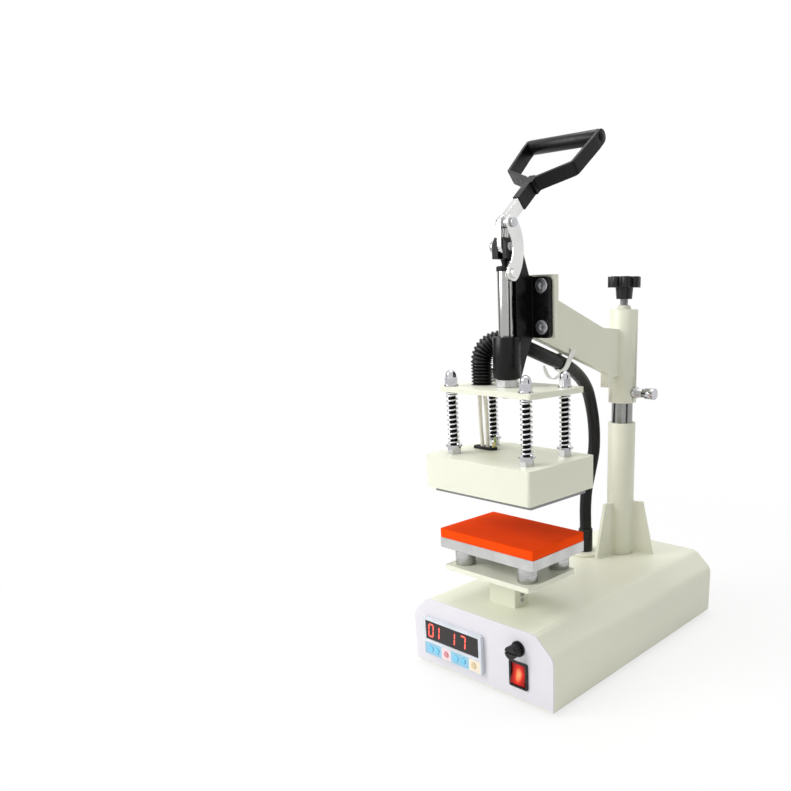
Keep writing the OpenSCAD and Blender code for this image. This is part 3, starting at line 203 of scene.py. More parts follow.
def panel_film(name, colour):
    """Polycarbonate overlay on the front panel, screen coated: an even satin white with a velvet grain.

    The real grain is 0.2 mm; it is drawn at 0.9 mm so that it shows."""
    s = Surface(name, colour, Roughness=0.38, IOR=1.55)
    s.drift(120, colour, 0.985, 1.0)
    grain = s.texture("TexNoise", per_mm(0.9))
    s.gloss(grain.outputs[0], 0.34, 0.44)
    s.relief(grain.outputs[0], 0.02, 0.25)
    return s.material


def moulded_plastic(name, colour, roughness):
    """ABS or nylon from a spark-eroded mould: a fine even grain and a dull gleam on its edges.

    The real grain is 0.15 mm; it is drawn at 0.8 mm so that it shows."""
    s = Surface(name, colour, Roughness=roughness, IOR=1.53, Specular_IOR_Level=0.35)
    s.drift(25, colour, 0.88, 1.0)
    grain = s.texture("TexVoronoi", per_mm(0.8))
    s.gloss(grain.outputs["Distance"], roughness - 0.05, roughness + 0.08)
    s.relief(grain.outputs["Distance"], 0.03, 0.3)
    return s.material


def smoked_acrylic(name, colour):
    """Smoked acrylic window, cast and polished: nearly black, with a clear gloss and fine wipe marks."""
    s = Surface(name, colour, Roughness=0.1, IOR=1.49)
    marks = s.drift(14, colour, 0.8, 1.0)
    s.gloss(marks.outputs[0], 0.07, 0.16)
    return s.material


def key_film(name, blue, rose, cream):
    """Polyester key strip, printed on its back in four plain fields: satin, with crisp colour edges."""
    s = Surface(name, blue, Roughness=0.33, IOR=1.6)
    low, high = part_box("key_panel")
    across = add(s.tree, "SeparateXYZ", {"Vector": s.place}).outputs["X"]
    along = add(s.tree, "MapRange", {"Value": across, "From Min": low.x, "From Max": high.x})
    fields = s.tint(along.outputs["Result"],
                    ((0.0, blue, 1.0), (0.3, rose, 1.0), (0.47, blue, 1.0), (0.8, cream, 1.0)))
    fields.color_ramp.interpolation = "CONSTANT"
    grain = s.texture("TexNoise", per_mm(0.8))
    s.relief(grain.outputs[0], 0.01, 0.2)
    return s.material


def key_dome(name, colour):
    """Embossed film key: the printed colour, paler in faint patches, under a satin skin."""
    s = Surface(name, colour, Roughness=0.28, IOR=1.6)
    cloud = s.drift(3, colour, 0.86, 1.12)
    s.relief(cloud.outputs[0], 0.01, 0.2)
    return s.material


def lit_rocker(name, colour, glow):
    """Clear red polycarbonate rocker with a lamp behind it: deep red ends and a glowing orange middle."""
    s = Surface(name, colour, Roughness=0.2, IOR=1.58, Specular_IOR_Level=0.16, Emission_Strength=1.0)
    low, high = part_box("rocker")
    middle = (low + high) / 2
    lamp = (middle.x, low.y, middle.z)
    # The lamp lies along the rocker, so its light reaches further up and down than across
    shorten, reach = (1.0, 0.3, 0.6), 0.0095
    spot = add(s.tree, "VectorMath", {0: s.place, 1: lamp}, operation="SUBTRACT")
    spot = add(s.tree, "VectorMath", {0: spot.outputs[0], 1: shorten}, operation="MULTIPLY")
    away = add(s.tree, "VectorMath", {0: spot.outputs[0]}, operation="LENGTH")
    share = add(s.tree, "MapRange", {"Value": away.outputs["Value"], "From Max": reach})
    s.tint(share.outputs["Result"], ((0.05, glow, 1.0), (0.55, colour, 2.6), (0.95, colour, 0.4)),
           "Emission Color")
    return s.material


def ground_steel(name, colour, roughness):
    """Bright bar and plate steel, ground: a cool mirror drawn out by fine grinding lines.

    The real lines are 0.05 mm; they are drawn at 0.7 mm so that they show."""
    s = Surface(name, colour, Metallic=1.0, Roughness=roughness)
    grind = s.lines((0.12, 0.12, 1.0), 0.7, 3.0)
    s.gloss(grind, roughness - 0.04, roughness + 0.06)
    s.relief(grind, 0.004, 0.1)
    cloud = s.drift(30, colour, 0.86, 1.0)
    cloud.inputs["Roughness"].default_value = 0.6
    return s.material


def plated_steel(name, colour, roughness):
    """Zinc or chromium plated steel from a barrel: a soft cool mirror with clouds and small dull spots."""
    s = Surface(name, colour, Metallic=1.0, Roughness=roughness)
    cloud = s.drift(8, colour, 0.8, 1.0)
    s.gloss(cloud.outputs[0], roughness - 0.07, roughness + 0.1)
    return s.material


def milled_aluminium(name, colour):
    """Cast and milled aluminium plate: pale grey, half matt, with the cutter's fine passes.

    The real passes are 0.3 mm apart; they are drawn at 1.1 mm so that they show."""
    s = Surface(name, colour, Metallic=1.0, Roughness=0.42)
    passes = s.lines((0.08, 1.0, 1.0), 1.1, 2.0)
    s.gloss(passes, 0.36, 0.5)
    s.relief(passes, 0.02, 0.3)
    s.drift(22, colour, 0.85, 1.0)
    return s.material


def stained_aluminium(name, colour):
    """Heating plate of aluminium: painted shade on its sides, its downward working face kept pale."""
    s = Surface(name, colour, Metallic=1.0, Roughness=0.45)
    mottle = s.texture("TexNoise", per_mm(18), Detail=3.0)
    normal = add(s.tree, "NewGeometry").outputs["Normal"]
    up = add(s.tree, "SeparateXYZ", {"Vector": normal}).outputs["Z"]
    down = add(s.tree, "MapRange", {"Value": up, "From Min": -0.8, "From Max": -0.95, "To Max": 0.85})
    level = add(s.tree, "Math", {0: mottle.outputs[0], 1: 0.15, 2: down.outputs["Result"]},
                operation="MULTIPLY_ADD")
    # Painted shade: every face but the downward one is darkened, and a noise varies it a little
    s.tint(level.outputs[0], ((0.04, colour, 0.34), (0.11, colour, 0.46), (0.95, colour, 1.0)))
    s.gloss(mottle.outputs[0], 0.4, 0.54)
    return s.material


def turned_aluminium(name, colour):
    """Aluminium bar turned on a lathe: pale, with a ring of fine tool lines at each height.

    The real lines are 0.2 mm apart; they are drawn at 1.2 mm so that they show."""
    s = Surface(name, colour, Metallic=1.0, Roughness=0.34)
    lines = s.lines((0.03, 0.03, 1.0), 1.2, 2.0)
    s.tint(lines, ((0.35, colour, 0.7), (0.65, colour, 1.0)))
    s.gloss(lines, 0.28, 0.42)
    s.relief(lines, 0.03, 0.5)
    return s.material


def threaded_steel(name, colour, pitch, roughness):
    """Screwed rod with a rolled thread: painted highlights on its crests, painted shade between the turns.
    """
    s = Surface(name, colour, Metallic=1.0, Roughness=roughness)
    turns = s.texture("TexWave", per_mm(pitch) * AXIS_WAVE)
    turns.bands_direction = "Z"
    # Painted highlight on the crests and painted shade in the roots of the thread
    s.tint(turns.outputs["Fac"], ((0.2, colour, 0.45), (0.8, colour, 1.0)))
    s.relief(turns.outputs["Fac"], 0.5, 1.0)
    return s.material


def silicone_sponge(name, colour):
    """Heat-proof silicone sponge, cut from a sheet: matt, saturated, with small closed cells."""
    s = Surface(name, colour, Roughness=0.75, IOR=1.41, Specular_IOR_Level=0.08)
    s.drift(35, colour, 0.95, 1.04)
    cells = s.texture("TexVoronoi", per_mm(1.1))
    s.relief(cells.outputs["Distance"], 0.06, 0.35)
    return s.material


def rubber(name, colour, roughness):
    """Black rubber from a die or a mould: deep, slightly greasy, with a faint skin."""
    s = Surface(name, colour, Roughness=roughness, IOR=1.52, Specular_IOR_Level=0.28)
    bloom = s.drift(6, colour, 0.75, 1.1)
    s.gloss(bloom.outputs[0], roughness - 0.07, roughness + 0.1)
    s.relief(bloom.outputs[0], 0.05, 0.2)
    return s.material


def black_enamel(name, colour, roughness):
    """Black stoved enamel on forged and bent steel: glossy, with the metal's waves under it."""
    s = Surface(name, colour, Roughness=roughness, IOR=1.5, Specular_IOR_Level=0.24)
    waves = s.drift(9, colour, 0.8, 1.1)
    s.gloss(waves.outputs[0], roughness - 0.08, roughness + 0.1)
    s.relief(waves.outputs[0], 0.12, 0.25)
    return s.material


def braided_sleeve(name, colour):
    """Glass-fibre sleeve on a heater lead, braided and varnished: ivory, with a slanting weave."""
    s = Surface(name, colour, Roughness=0.6, IOR=1.5)
    strands = s.texture("TexWave", per_mm(1.6) * DIAGONAL_WAVE, Distortion=1.5)
    strands.bands_direction = "DIAGONAL"
    s.tint(strands.outputs["Fac"], ((0.1, colour, 0.78), (0.6, colour, 1.0)))
    s.relief(strands.outputs["Fac"], 0.12, 0.6)
    return s.material


def earth_insulation(name, green, yellow):
    """PVC insulation of an earth lead, extruded with a yellow stripe: glossy green and yellow bands."""
    s = Surface(name, green, Roughness=0.3, IOR=1.53)
    bands = s.texture("TexWave", per_mm(9.0) * DIAGONAL_WAVE, Distortion=0.4)
    bands.bands_direction = "DIAGONAL"
    s.tint(bands.outputs["Fac"], ((0.45, green, 1.0), (0.55, yellow, 1.0)))
    return s.material


def lit_segments(name, colour):
    """Light-emitting display segments behind the window: red light, a touch hotter in patches."""
    s = Surface(name, colour, Roughness=0.4, Emission_Strength=1.0)
    cloud = s.texture("TexNoise", per_mm(4.0))
    s.tint(cloud.outputs[0], ((0.3, colour, 0.9), (0.7, colour, 1.3)), "Emission Color")
    return s.material


def seen_directly(tree):
    """One where the camera, a reflection or a clear material looks straight at it, and else nothing."""
    path = add(tree, "LightPath").outputs
    seen = add(tree, "Math", {0: path["Is Camera Ray"], 1: path["Is Glossy Ray"]}, operation="MAXIMUM")
    seen = add(tree, "Math", {0: seen.outputs[0], 1: path["Is Transmission Ray"]}, operation="MAXIMUM")
    return seen.outputs[0]


def studio_vinyl(name):
    """White vinyl of the studio floor: matt, and nearly white to the eye, so that only soft shadow shows."""
    material = bpy.data.materials.new(name)
    material.use_nodes = True
    tree = material.node_tree
    tree.nodes.clear()
    spot = add(tree, "TexCoord").outputs["Object"]
    far = add(tree, "VectorMath", {0: spot}, operation="LENGTH")
    fade = add(tree, "MapRange", {"Value": far.outputs["Value"], "From Min": 0.25, "From Max": 0.9,
                                  "To Min": 0.72})
    share = add(tree, "Math", {0: seen_directly(tree), 1: fade.outputs["Result"]}, operation="MULTIPLY")
    vinyl = add(tree, "BsdfDiffuse", {"Color": (0.86, 0.86, 0.86, 1.0)})
    white = add(tree, "Emission", {"Color": (1.0, 1.0, 1.0, 1.0), "Strength": 1.0})
    both = add(tree, "MixShader", {0: share.outputs[0], 1: vinyl.outputs[0], 2: white.outputs[0]})
    add(tree, "OutputMaterial", {"Surface": both.outputs[0]})
    return material


def black_felt(name):
    """Black felt of the reflection cards: quite matt, and dark enough to draw bands on bright metal."""
    material = bpy.data.materials.new(name)
    material.use_nodes = True
    shader = material.node_tree.nodes["Principled BSDF"]
    shader.inputs["Base Color"].default_value = (0.01, 0.01, 0.01, 1.0)
    shader.inputs["Roughness"].default_value = 1.0
    return material


# Each finish: the material's name, its maker and the maker's values. A colour goes by name, or with a factor
FINISHES = {
    "cream": ("cream powder coat", powder_coat, "cream"),
    "panel": ("white polycarbonate overlay", panel_film, "panel"),
    "black_plastic": ("black ABS", moulded_plastic, "black_plastic", 0.38),
    "grey_plastic": ("pale grey ABS", moulded_plastic, "bezel", 0.42),
    "white_plastic": ("white nylon", moulded_plastic, "tie", 0.36),
    "window": ("smoked acrylic", smoked_acrylic, "window"),
    "key_film": ("printed polyester key strip", key_film, "key_blue", "key_rose", "key_cream"),
    "key_blue": ("blue embossed film", key_dome, "key_cyan"),
    "key_red": ("red embossed film", key_dome, "key_red"),
    "key_yellow": ("yellow embossed film", key_dome, "key_yellow"),
    "rocker": ("lit red polycarbonate", lit_rocker, "rocker", "rocker_glow"),
    "bright_steel": ("ground bright steel", ground_steel, "bright_steel", 0.2),
    "rod_steel": ("ground rod steel", ground_steel, "rod", 0.16),
    # The post's steel is the rod's colour darkened: painted shade
    "post_steel": ("oiled post steel", ground_steel, ("rod", 0.72), 0.2),
    "screwed_steel": ("zinc plated screwed rod", threaded_steel, "zinc", 1.5, 0.3),
    "oxide_stud": ("black oxide studding", threaded_steel, "oxide", 1.25, 0.42),
    "chrome": ("chromium plated steel", plated_steel, "chrome", 0.12),
    "zinc": ("zinc plated steel", plated_steel, "zinc", 0.3),
    "spring": ("zinc plated spring steel", plated_steel, "spring", 0.26),
    "aluminium": ("milled aluminium", milled_aluminium, "aluminium"),
    "stained_aluminium": ("heat stained aluminium", stained_aluminium, "aluminium"),
    "turned_aluminium": ("turned aluminium", turned_aluminium, ("aluminium", 0.9)),
    "silicone": ("orange silicone sponge", silicone_sponge, "silicone"),
    "hose_rubber": ("black hose rubber", rubber, "hose", 0.4),
    "rubber": ("black moulded rubber", rubber, "hose", 0.55),
    "conduit": ("black ribbed nylon", moulded_plastic, "hose", 0.34),
    "enamel": ("black stoved enamel", black_enamel, "enamel", 0.3),
    "handle_coat": ("black handle coating", black_enamel, "handle", 0.36),
    "lead": ("braided glass sleeve", braided_sleeve, "lead"),
    "earth": ("striped earth insulation", earth_insulation, "earth_green", "earth_yellow"),
    "digits": ("lit display segments", lit_segments, "digits"),
}


def finish(key):
    """The material of a finish, made the first time it is asked for."""
    name, maker, *values = FINISHES[key]
    if name in bpy.data.materials:
        return bpy.data.materials[name]
    colours = bpy.context.scene.press_colours
    for i, value in enumerate(values):
        if isinstance(value, str):
            values[i] = getattr(colours, value)
        elif isinstance(value, tuple):
            values[i] = shade(getattr(colours, value[0]), value[1])
    return maker(name, *values)


# Shapes

def row_points(route):
    """A route's points in the row frame, in metres."""
    return [Vector((x, y + ROUTE_SHIFT, z)) * MM for x, y, z in route]


def smooth_line(points, steps):
    """Points on one smooth curve through the given points."""
    run = [2 * points[0] - points[1]] + points + [2 * points[-1] - points[-2]]
    line = []
    for a, b, c, d in zip(run, run[1:], run[2:], run[3:]):
        for k in range(steps):
            t = k / steps
            line.append(0.5 * (2 * b + (c - a) * t + (2 * a - 5 * b + 4 * c - d) * t * t
                               + (3 * b - a - 3 * c + d) * t * t * t))
    return line + [points[-1].copy()]


def swept_rings(line, radii, sides):
    """Rings of points square to a line, without twist."""
    rings = []
    last = len(line) - 1
    side = None
    for i, centre in enumerate(line):
        along = (line[min(i + 1, last)] - line[max(i - 1, 0)]).normalized()
        side = along.orthogonal() if side is None else side - along * side.dot(along)
        side.normalize()
        up = along.cross(side)
        rings.append([centre + radii[i] * (math.cos(a) * side + math.sin(a) * up)
                      for a in (math.tau * k / sides for k in range(sides))])
    return rings


def skin(rings, closed=False):
    """Vertices and faces between rings; the two ends are filled, or joined where the rings are closed."""
    sides = len(rings[0])
    verts = [v for ring in rings for v in ring]
    faces = []
    for i in range(len(rings) if closed else len(rings) - 1):
        j = (i + 1) % len(rings)
        for k in range(sides):
            m = (k + 1) % sides
            faces.append((i * sides + k, i * sides + m, j * sides + m, j * sides + k))
    if not closed:
        faces.append(tuple(reversed(range(sides))))
        faces.append(tuple(range(len(verts) - sides, len(verts))))
    return verts, faces


def tube(line, radius, sides):
    """A round bar along a line, with its ends filled."""
    return skin(swept_rings(line, [radius] * len(line), sides))


def lathe(profile, place, sides=48):
    """A turned solid: radius and height pairs spun about the place's own Z."""
    rings = [[place @ Vector((r * math.cos(a), r * math.sin(a), h))
              for a in (math.tau * k / sides for k in range(sides))] for r, h in profile]
    return skin(rings)


def prism(outline, depth):
    """A flat outline given depth along a vector."""
    count = len(outline)
    verts = list(outline) + [v + depth for v in outline]
    faces = [tuple(range(count)), tuple(reversed(range(count, 2 * count)))]
    faces += [(k, k + count, (k + 1) % count + count, (k + 1) % count) for k in range(count)]
    return verts, faces


def gather(*parts):
    """Several meshes as one."""
    verts, faces = [], []
    for more_verts, more_faces in parts:
        base = len(verts)
        verts += more_verts
        faces += [tuple(i + base for i in face) for face in more_faces]
    return verts, faces


def piece(name, mesh_parts, material, smooth_angle=35):
    """A new object, shaded smooth up to an angle, with the material of its finish; most callers give it a
    body.
    """
    verts, faces = mesh_parts
    mesh = bpy.data.meshes.new(name)
    mesh.from_pydata(verts, [], faces)
    mesh.validate()
    mesh.shade_smooth()
    mesh.set_sharp_from_angle(angle=math.radians(smooth_angle))
    obj = bpy.data.objects.new(name, mesh)
    bpy.context.scene.collection.objects.link(obj)
    mesh.materials.append(finish(material))
    return obj


def facing(origin, toward):
    """A place whose Z points along a direction."""
    return Matrix.Translation(origin) @ Vector(toward).to_track_quat("Z", "Y").to_matrix().to_4x4()


def weld_bead(a, b, radius):
    """A rippled run of weld between two points, thinner at its ends."""
    ripple, ripple_turn, sides = 0.13, 2.1, 10
    steps = max(2, int((b - a).length / (0.8 * MM)))
    line = [a.lerp(b, k / steps) for k in range(steps + 1)]
    radii = [radius * (1.0 + ripple * math.sin(ripple_turn * k)) for k in range(steps + 1)]
    radii[0] = radii[-1] = 0.5 * radius
    return skin(swept_rings(line, radii, sides))


# Values that the panel shows

def length(name, description, default):
    """A length to set, in metres."""
    return bpy.props.FloatProperty(name=name, description=description, default=default, unit="LENGTH")


def tone(name, description, code):
    """A colour to set, from its sRGB hex value."""
    return bpy.props.FloatVectorProperty(
        name=name, description=description, subtype="COLOR", size=3, min=0.0, max=1.0, default=linear(code))


class PressSizes(bpy.types.PropertyGroup):
    """Sizes of the pieces that the frame doesn't fix."""
    edge_round: length("Edge rounding", "Rounding of the sheet and plate edges", 0.0007)
    hose_diameter: length("Hose diameter", "Outside of the smooth hose", 0.016)
    rib_diameter: length("Ribbed hose diameter", "Outside of the ribs", 0.024)
    rib_pitch: length("Rib pitch", "Distance between two ribs", 0.0035)
    lead_diameter: length("Lead diameter", "Outside of a heater lead", 0.0044)
    earth_diameter: length("Earth lead diameter", "Outside of the earth lead", 0.003)
    spring_diameter: length("Spring diameter", "Outside of a head spring", 0.013)
    spring_wire: length("Spring wire", "Wire of a head spring", 0.002)
    spring_turns: bpy.props.IntProperty(
        name="Spring turns", description="Open turns of a head spring", default=10, min=6, max=12)
    digit_height: length("Digit height", "Height of a display digit", 0.0155)
    weld_width: length("Weld width", "Width of a weld bead", 0.0034)


class PressColours(bpy.types.PropertyGroup):
    """Colours of the finishes."""
    cream: tone("Cream paint", "Powder coat of base, column, arm and head", "#E5E6D4")
    panel: tone("Panel", "Overlay of the front panel", "#DEDCE2")
    bezel: tone("Bezel", "Frame of the controller", "#DADFE6")
    black_plastic: tone("Black plastic", "Knob, switch frame, fuse holder and hose fitting", "#131315")
    window: tone("Window", "Display window", "#1A0F10")
    digits: tone("Digits", "Lit display digits", "#FF5648")
    key_blue: tone("Key strip blue", "Blue fields of the key strip", "#8FC6E2")
    key_cyan: tone("Blue keys", "Keys on the blue fields", "#74CDF1")
    key_rose: tone("Key strip rose", "Rose field of the key strip", "#EFD9DC")
    key_cream: tone("Key strip cream", "Cream field of the key strip", "#EFE3CE")
    key_red: tone("Red key", "Key on the rose field", "#D98A92")
    key_yellow: tone("Yellow key", "Key on the cream field", "#DCC79A")
    rocker: tone("Rocker", "Switch rocker", "#82120C")
    rocker_glow: tone("Rocker glow", "Lit middle of the rocker", "#FFC07A")
    bright_steel: tone("Bright steel", "Lever and link", "#E6E6E4")
    rod: tone("Rod steel", "Plunger rod and post", "#B0B0AE")
    oxide: tone("Black oxide", "Studs of the head", "#2A2A2C")
    chrome: tone("Chromium", "Domed nuts and pull pin", "#C8C8CC")
    zinc: tone("Zinc", "Bolts, nuts, pins and small screws", "#CBCCCF")
    spring: tone("Spring steel", "Head springs", "#E0E1E4")
    aluminium: tone("Aluminium", "Platen, its standoffs and the heating plate", "#D2D3D1")
    silicone: tone("Silicone", "Pad on the lower platen", "#FA4B08")
    hose: tone("Hose", "Hoses and rubber pieces", "#0B0B0C")
    enamel: tone("Black enamel", "Toggle clamp", "#0C0C0D")
    handle: tone("Handle coating", "Straps and grip of the handle", "#0E0E10")
    tie: tone("Tie", "Hose tie and relay", "#F8F8F4")
    lead: tone("Heater lead", "Sleeve of the heater leads", "#F1EDE0")
    earth_green: tone("Earth green", "Earth lead", "#8FA05A")
    earth_yellow: tone("Earth yellow", "Stripe of the earth lead", "#D9CF7A")


class PressCamera(bpy.types.Operator):
    """Places the camera at the photograph's viewing angle"""
    bl_idname = "press.camera"
    bl_label = "Camera"

    def execute(self, context):
        data = bpy.data.cameras.new("press_camera")
        data.sensor_width = 36.0
        data.lens = 32.91
        data.shift_x = -0.2252
        data.shift_y = 0.1611
        camera = bpy.data.objects.new("press_camera", data)
        context.scene.collection.objects.link(camera)
        camera.location = (0.5354, -0.6914, 0.4188)
        aim = Vector((0.0, 0.0055, 0.155))
        camera.rotation_euler = (aim - camera.location).to_track_quat("-Z", "Y").to_euler()
        context.scene.camera = camera
        return {"FINISHED"}


class PressHoses(bpy.types.Operator):
    """Runs the smooth hose from the base to the arm and along it"""
    bl_idname = "press.hoses"
    bl_label = "Hoses"

    def execute(self, context):
        diameter = context.scene.press_sizes.hose_diameter
        steps, sides = 3, 32
        whole = smooth_line(row_points(LOWER_HOSE + UPPER_HOSE[1:]), steps)
        joint = steps * (len(LOWER_HOSE) - 1)
        # Both hoses keep the ring where they meet, so that no gap opens there
        rings = swept_rings(whole, [diameter / 2] * len(whole), sides)
        # Each hose has its part of the line, the bodies at its ends, and the stretch that bends between them
        for name, node, part, bodies, bend in (
                ("lower_hose", "hose_lower", slice(joint + 1), ("base", "swivel"),
                 ((-0.033, 0.077, 0.17), (-0.03, 0.08, 0.30))),
                ("upper_hose", "hose_upper", slice(joint, None), ("swivel", "arm"),
                 ((-0.027, 0.0695, 0.315), (-0.010, 0.0105, 0.344)))):
            hose = piece(name, skin(rings[part]), "hose_rubber", SWEPT_ANGLE)
            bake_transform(hose)
            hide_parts(node)
        return {"FINISHED"}


class PressRibbedHose(bpy.types.Operator):
    """Makes the short ribbed hose that curls from the upper plate to the clamp"""
    bl_idname = "press.ribbed_hose"
    bl_label = "Ribbed hose"

    def execute(self, context):
        sizes = context.scene.press_sizes
        foot = Vector((-0.038, -0.1105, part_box("upper_plate")[1].z))
        heading = Vector((0.6, 0.8, 0.0))
        straight, bend, sweep = 0.024, 0.022, math.radians(106)
        rib_depth, wall, collar = 0.0022, 0.0016, 0.004
        # A power under one makes the ribs fuller than the grooves
        fullness, rib_steps, sides = 0.7, 8, 40
        total = straight + bend * sweep
        count = int(total / sizes.rib_pitch) * rib_steps
        line, radii = [], []
        for k in range(count + 1):
            run = total * k / count
            angle = max(run - straight, 0.0) / bend
            line.append(foot + Vector((0, 0, min(run, straight) + bend * math.sin(angle)))
                        + heading * bend * (1 - math.cos(angle)))
            wave = 0.5 + 0.5 * math.cos(math.tau * run / sizes.rib_pitch)
            radii.append(sizes.rib_diameter / 2 - rib_depth * (1 - wave ** fullness))
        outside = swept_rings(line, radii, sides)
        inside = swept_rings(line, [r - wall for r in radii], sides)
        hose = piece("ribbed_hose", skin(outside + inside[::-1], closed=True), "conduit",
                     SWEPT_ANGLE)
        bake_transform(hose)
        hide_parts("hose_ribbed")
        return {"FINISHED"}


class PressLeads(bpy.types.Operator):
    """Hangs the two sleeved heater leads from the upper plate, and wires the earth lead to a stud"""
    bl_idname = "press.leads"
    bl_label = "Heater leads"

    def execute(self, context):
        sizes = context.scene.press_sizes
        steps, sides = 6, 20
        for name, route in zip(("heater_lead_front", "heater_lead_rear"), HEATER_LEADS):
            line = smooth_line(row_points(route), steps)
            lead = piece(name, tube(line, sizes.lead_diameter / 2, sides), "lead", SWEPT_ANGLE)
            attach(lead, "plunger")
            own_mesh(lead)
        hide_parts("heater_leads")

        line = smooth_line(row_points(EARTH_LEAD), steps)
        end = line[-1]
        earth = piece("earth_lead", tube(line, sizes.earth_diameter / 2, sides), "earth",
                      SWEPT_ANGLE)
        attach(earth, "head")
        # The terminal turns down from the lead's end to the stud's nut
        nut_drop = 0.006
        nut = Vector((*EARTH_STUD, end.z - nut_drop))
        crimp = piece("earth_terminal", lathe(
            [(0.0017, -0.002), (0.0021, -0.0016), (0.0021, 0.0022), (0.0016, 0.0028), (0.0016, 0.0034),
             (0.0026, 0.0042), (0.0028, 0.0062), (0.0022, 0.0068)], facing(end, nut - end), sides=24),
            "zinc")
        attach(crimp, "head")
        return {"FINISHED"}


class PressSprings(bpy.types.Operator):
    """Winds the four head springs, with closed ends"""
    bl_idname = "press.springs"
    bl_label = "Head springs"

    def execute(self, context):
        sizes = context.scene.press_sizes
        low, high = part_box("head_springs")
        wire, turns = sizes.spring_wire, sizes.spring_turns
        radius = (sizes.spring_diameter - wire) / 2
        steps, sides = 24, 10
        # A closed turn at each end rises by one wire, and the open turns share the rest of the height
        open_rise = high.z - low.z - 3 * wire
        coils = []
        for x, y in STUDS:
            line = []
            for k in range((turns + 2) * steps + 1):
                turn = k / steps
                rise = wire * min(turn, 1.0) + wire * max(turn - turns - 1, 0.0)
                rise += open_rise * min(max(turn - 1, 0.0), turns) / turns
                angle = math.tau * turn
                line.append(Vector((x + radius * math.cos(angle), y + radius * math.sin(angle),
                                    low.z + wire / 2 + rise)))
            coils.append(tube(line, wire / 2, sides))
        springs = piece("wound_springs", gather(*coils), "spring", SWEPT_ANGLE)
        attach(springs, "plunger")
        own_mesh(springs)
        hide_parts("head_springs")
        return {"FINISHED"}


class PressPad(bpy.types.Operator):
    """Lays the silicone pad on the lower platen, with soft edges and a faint dip inside them"""
    bl_idname = "press.pad"
    bl_label = "Silicone pad"

    def execute(self, context):
        low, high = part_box("silicone_pad")
        middle = (low + high) / 2
        half = (high - low) / 2
        thick = high.z - low.z
        edge, corner_round, least_round, corner_points = 0.001, 0.0025, 0.0008, 24
        # Insets and heights from the lower edge up the side, round the upper edge and in over the face
        profile = [(0.0006, 0.0), (0.0, 0.0008), (0.0, thick - edge)]
        profile += [(edge * (1 - math.cos(a)), thick - edge + edge * math.sin(a))
                    for a in (math.radians(15 * k) for k in range(1, 7))]
        profile += [(0.008, thick - 0.00005), (0.02, thick), (0.034, thick)]
        rings = []
        for inset, height in profile:
            corner = max(corner_round - inset, least_round)
            ring = []
            for quarter, (sx, sy) in enumerate(((1, 1), (-1, 1), (-1, -1), (1, -1))):
                for k in range(corner_points):
                    angle = math.radians(90 * quarter + 90 * k / (corner_points - 1))
                    ring.append(Vector((
                        middle.x + sx * (half.x - inset - corner) + corner * math.cos(angle),
                        middle.y + sy * (half.y - inset - corner) + corner * math.sin(angle),
                        low.z + height)))
            rings.append(ring)
        pad = piece("sponge_pad", skin(rings), "silicone", smooth_angle=50)
        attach(pad, "base")
        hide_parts("silicone_pad")
        return {"FINISHED"}


# Ends of each display segment, as shares of a digit's width and height, and the segments of each digit
SEGMENTS = {
    "a": ((0.0, 1.0), (1.0, 1.0)), "b": ((1.0, 1.0), (1.0, 0.5)), "c": ((1.0, 0.5), (1.0, 0.0)),
    "d": ((0.0, 0.0), (1.0, 0.0)), "e": ((0.0, 0.5), (0.0, 0.0)), "f": ((0.0, 1.0), (0.0, 0.5)),
}
DIGITS = {"0": "abcdef", "1": "bc", "7": "abc"}


class PressDisplay(bpy.types.Operator):
    """Sets the lit digits in the controller's display window"""
    bl_idname = "press.display"
    bl_label = "Display digits"

    def execute(self, context):
        low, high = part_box("display_window")
        tall = context.scene.press_sizes.digit_height
        wide, slant = 0.48 * tall, 0.1
        thick, inset, point = 0.0019, 0.58, 0.5
        proud, depth = 0.00012, Vector((0, 0.0001, 0))
        bars = []
        for digit, share in (("0", 0.085), ("1", 0.2), ("1", 0.5), ("7", 0.7)):
            corner = Vector((low.x + share * (high.x - low.x) - wide / 2, low.y - proud,
                             (low.z + high.z) / 2 - tall / 2))
            for segment in DIGITS[digit]:
                a, b = (Vector((x * wide, 0, z * tall)) for x, z in SEGMENTS[segment])
                along = (b - a).normalized()
                across = Vector((-along.z, 0, along.x)) * thick / 2
                a += along * thick * inset
                b -= along * thick * inset
                tip = along * thick * point
                outline = [a - tip, a - across, b - across, b + tip, b + across, a + across]
                bars.append(prism([corner + v + Vector((slant * v.z, 0, 0)) for v in outline], depth))
        digits = piece("display_digits", gather(*bars), "digits")
        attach(digits, "base")
        return {"FINISHED"}


class PressClampFittings(bpy.types.Operator):
    """Adds the plunger rod's bumper and the rivets of the hand grip"""
    bl_idname = "press.clamp_fittings"
    bl_label = "Clamp fittings"

    def execute(self, context):
        rod_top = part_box("plunger_rod")[1].z
        bumper = piece("rod_bumper", lathe(
            [(0.0082, -0.004), (0.0086, -0.0035), (0.0086, 0.0), (0.0078, 0.0009), (0.0028, 0.0016),
             (0.0026, 0.003), (0.0034, 0.0062), (0.0042, 0.0074)],
            Matrix.Translation(PRESS + Vector((0, 0, rod_top)))), "rubber")
        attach(bumper, "plunger")
        low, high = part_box("handle_grip")
        middle = (low + high) / 2
        straps_low, straps_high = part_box("handle_straps")
        head = [(0.0046, -0.0002), (0.0046, 0.0006), (0.0038, 0.0013), (0.0022, 0.0018), (0.0006, 0.002)]
        rivets = piece("grip_rivets", gather(*(
            lathe(head, facing((x, middle.y, middle.z), (side, 0, 0)), sides=32)
            for x, side in ((straps_high.x, 1), (straps_low.x, -1)))), "handle_coat")
        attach(rivets, "handle")
        return {"FINISHED"}


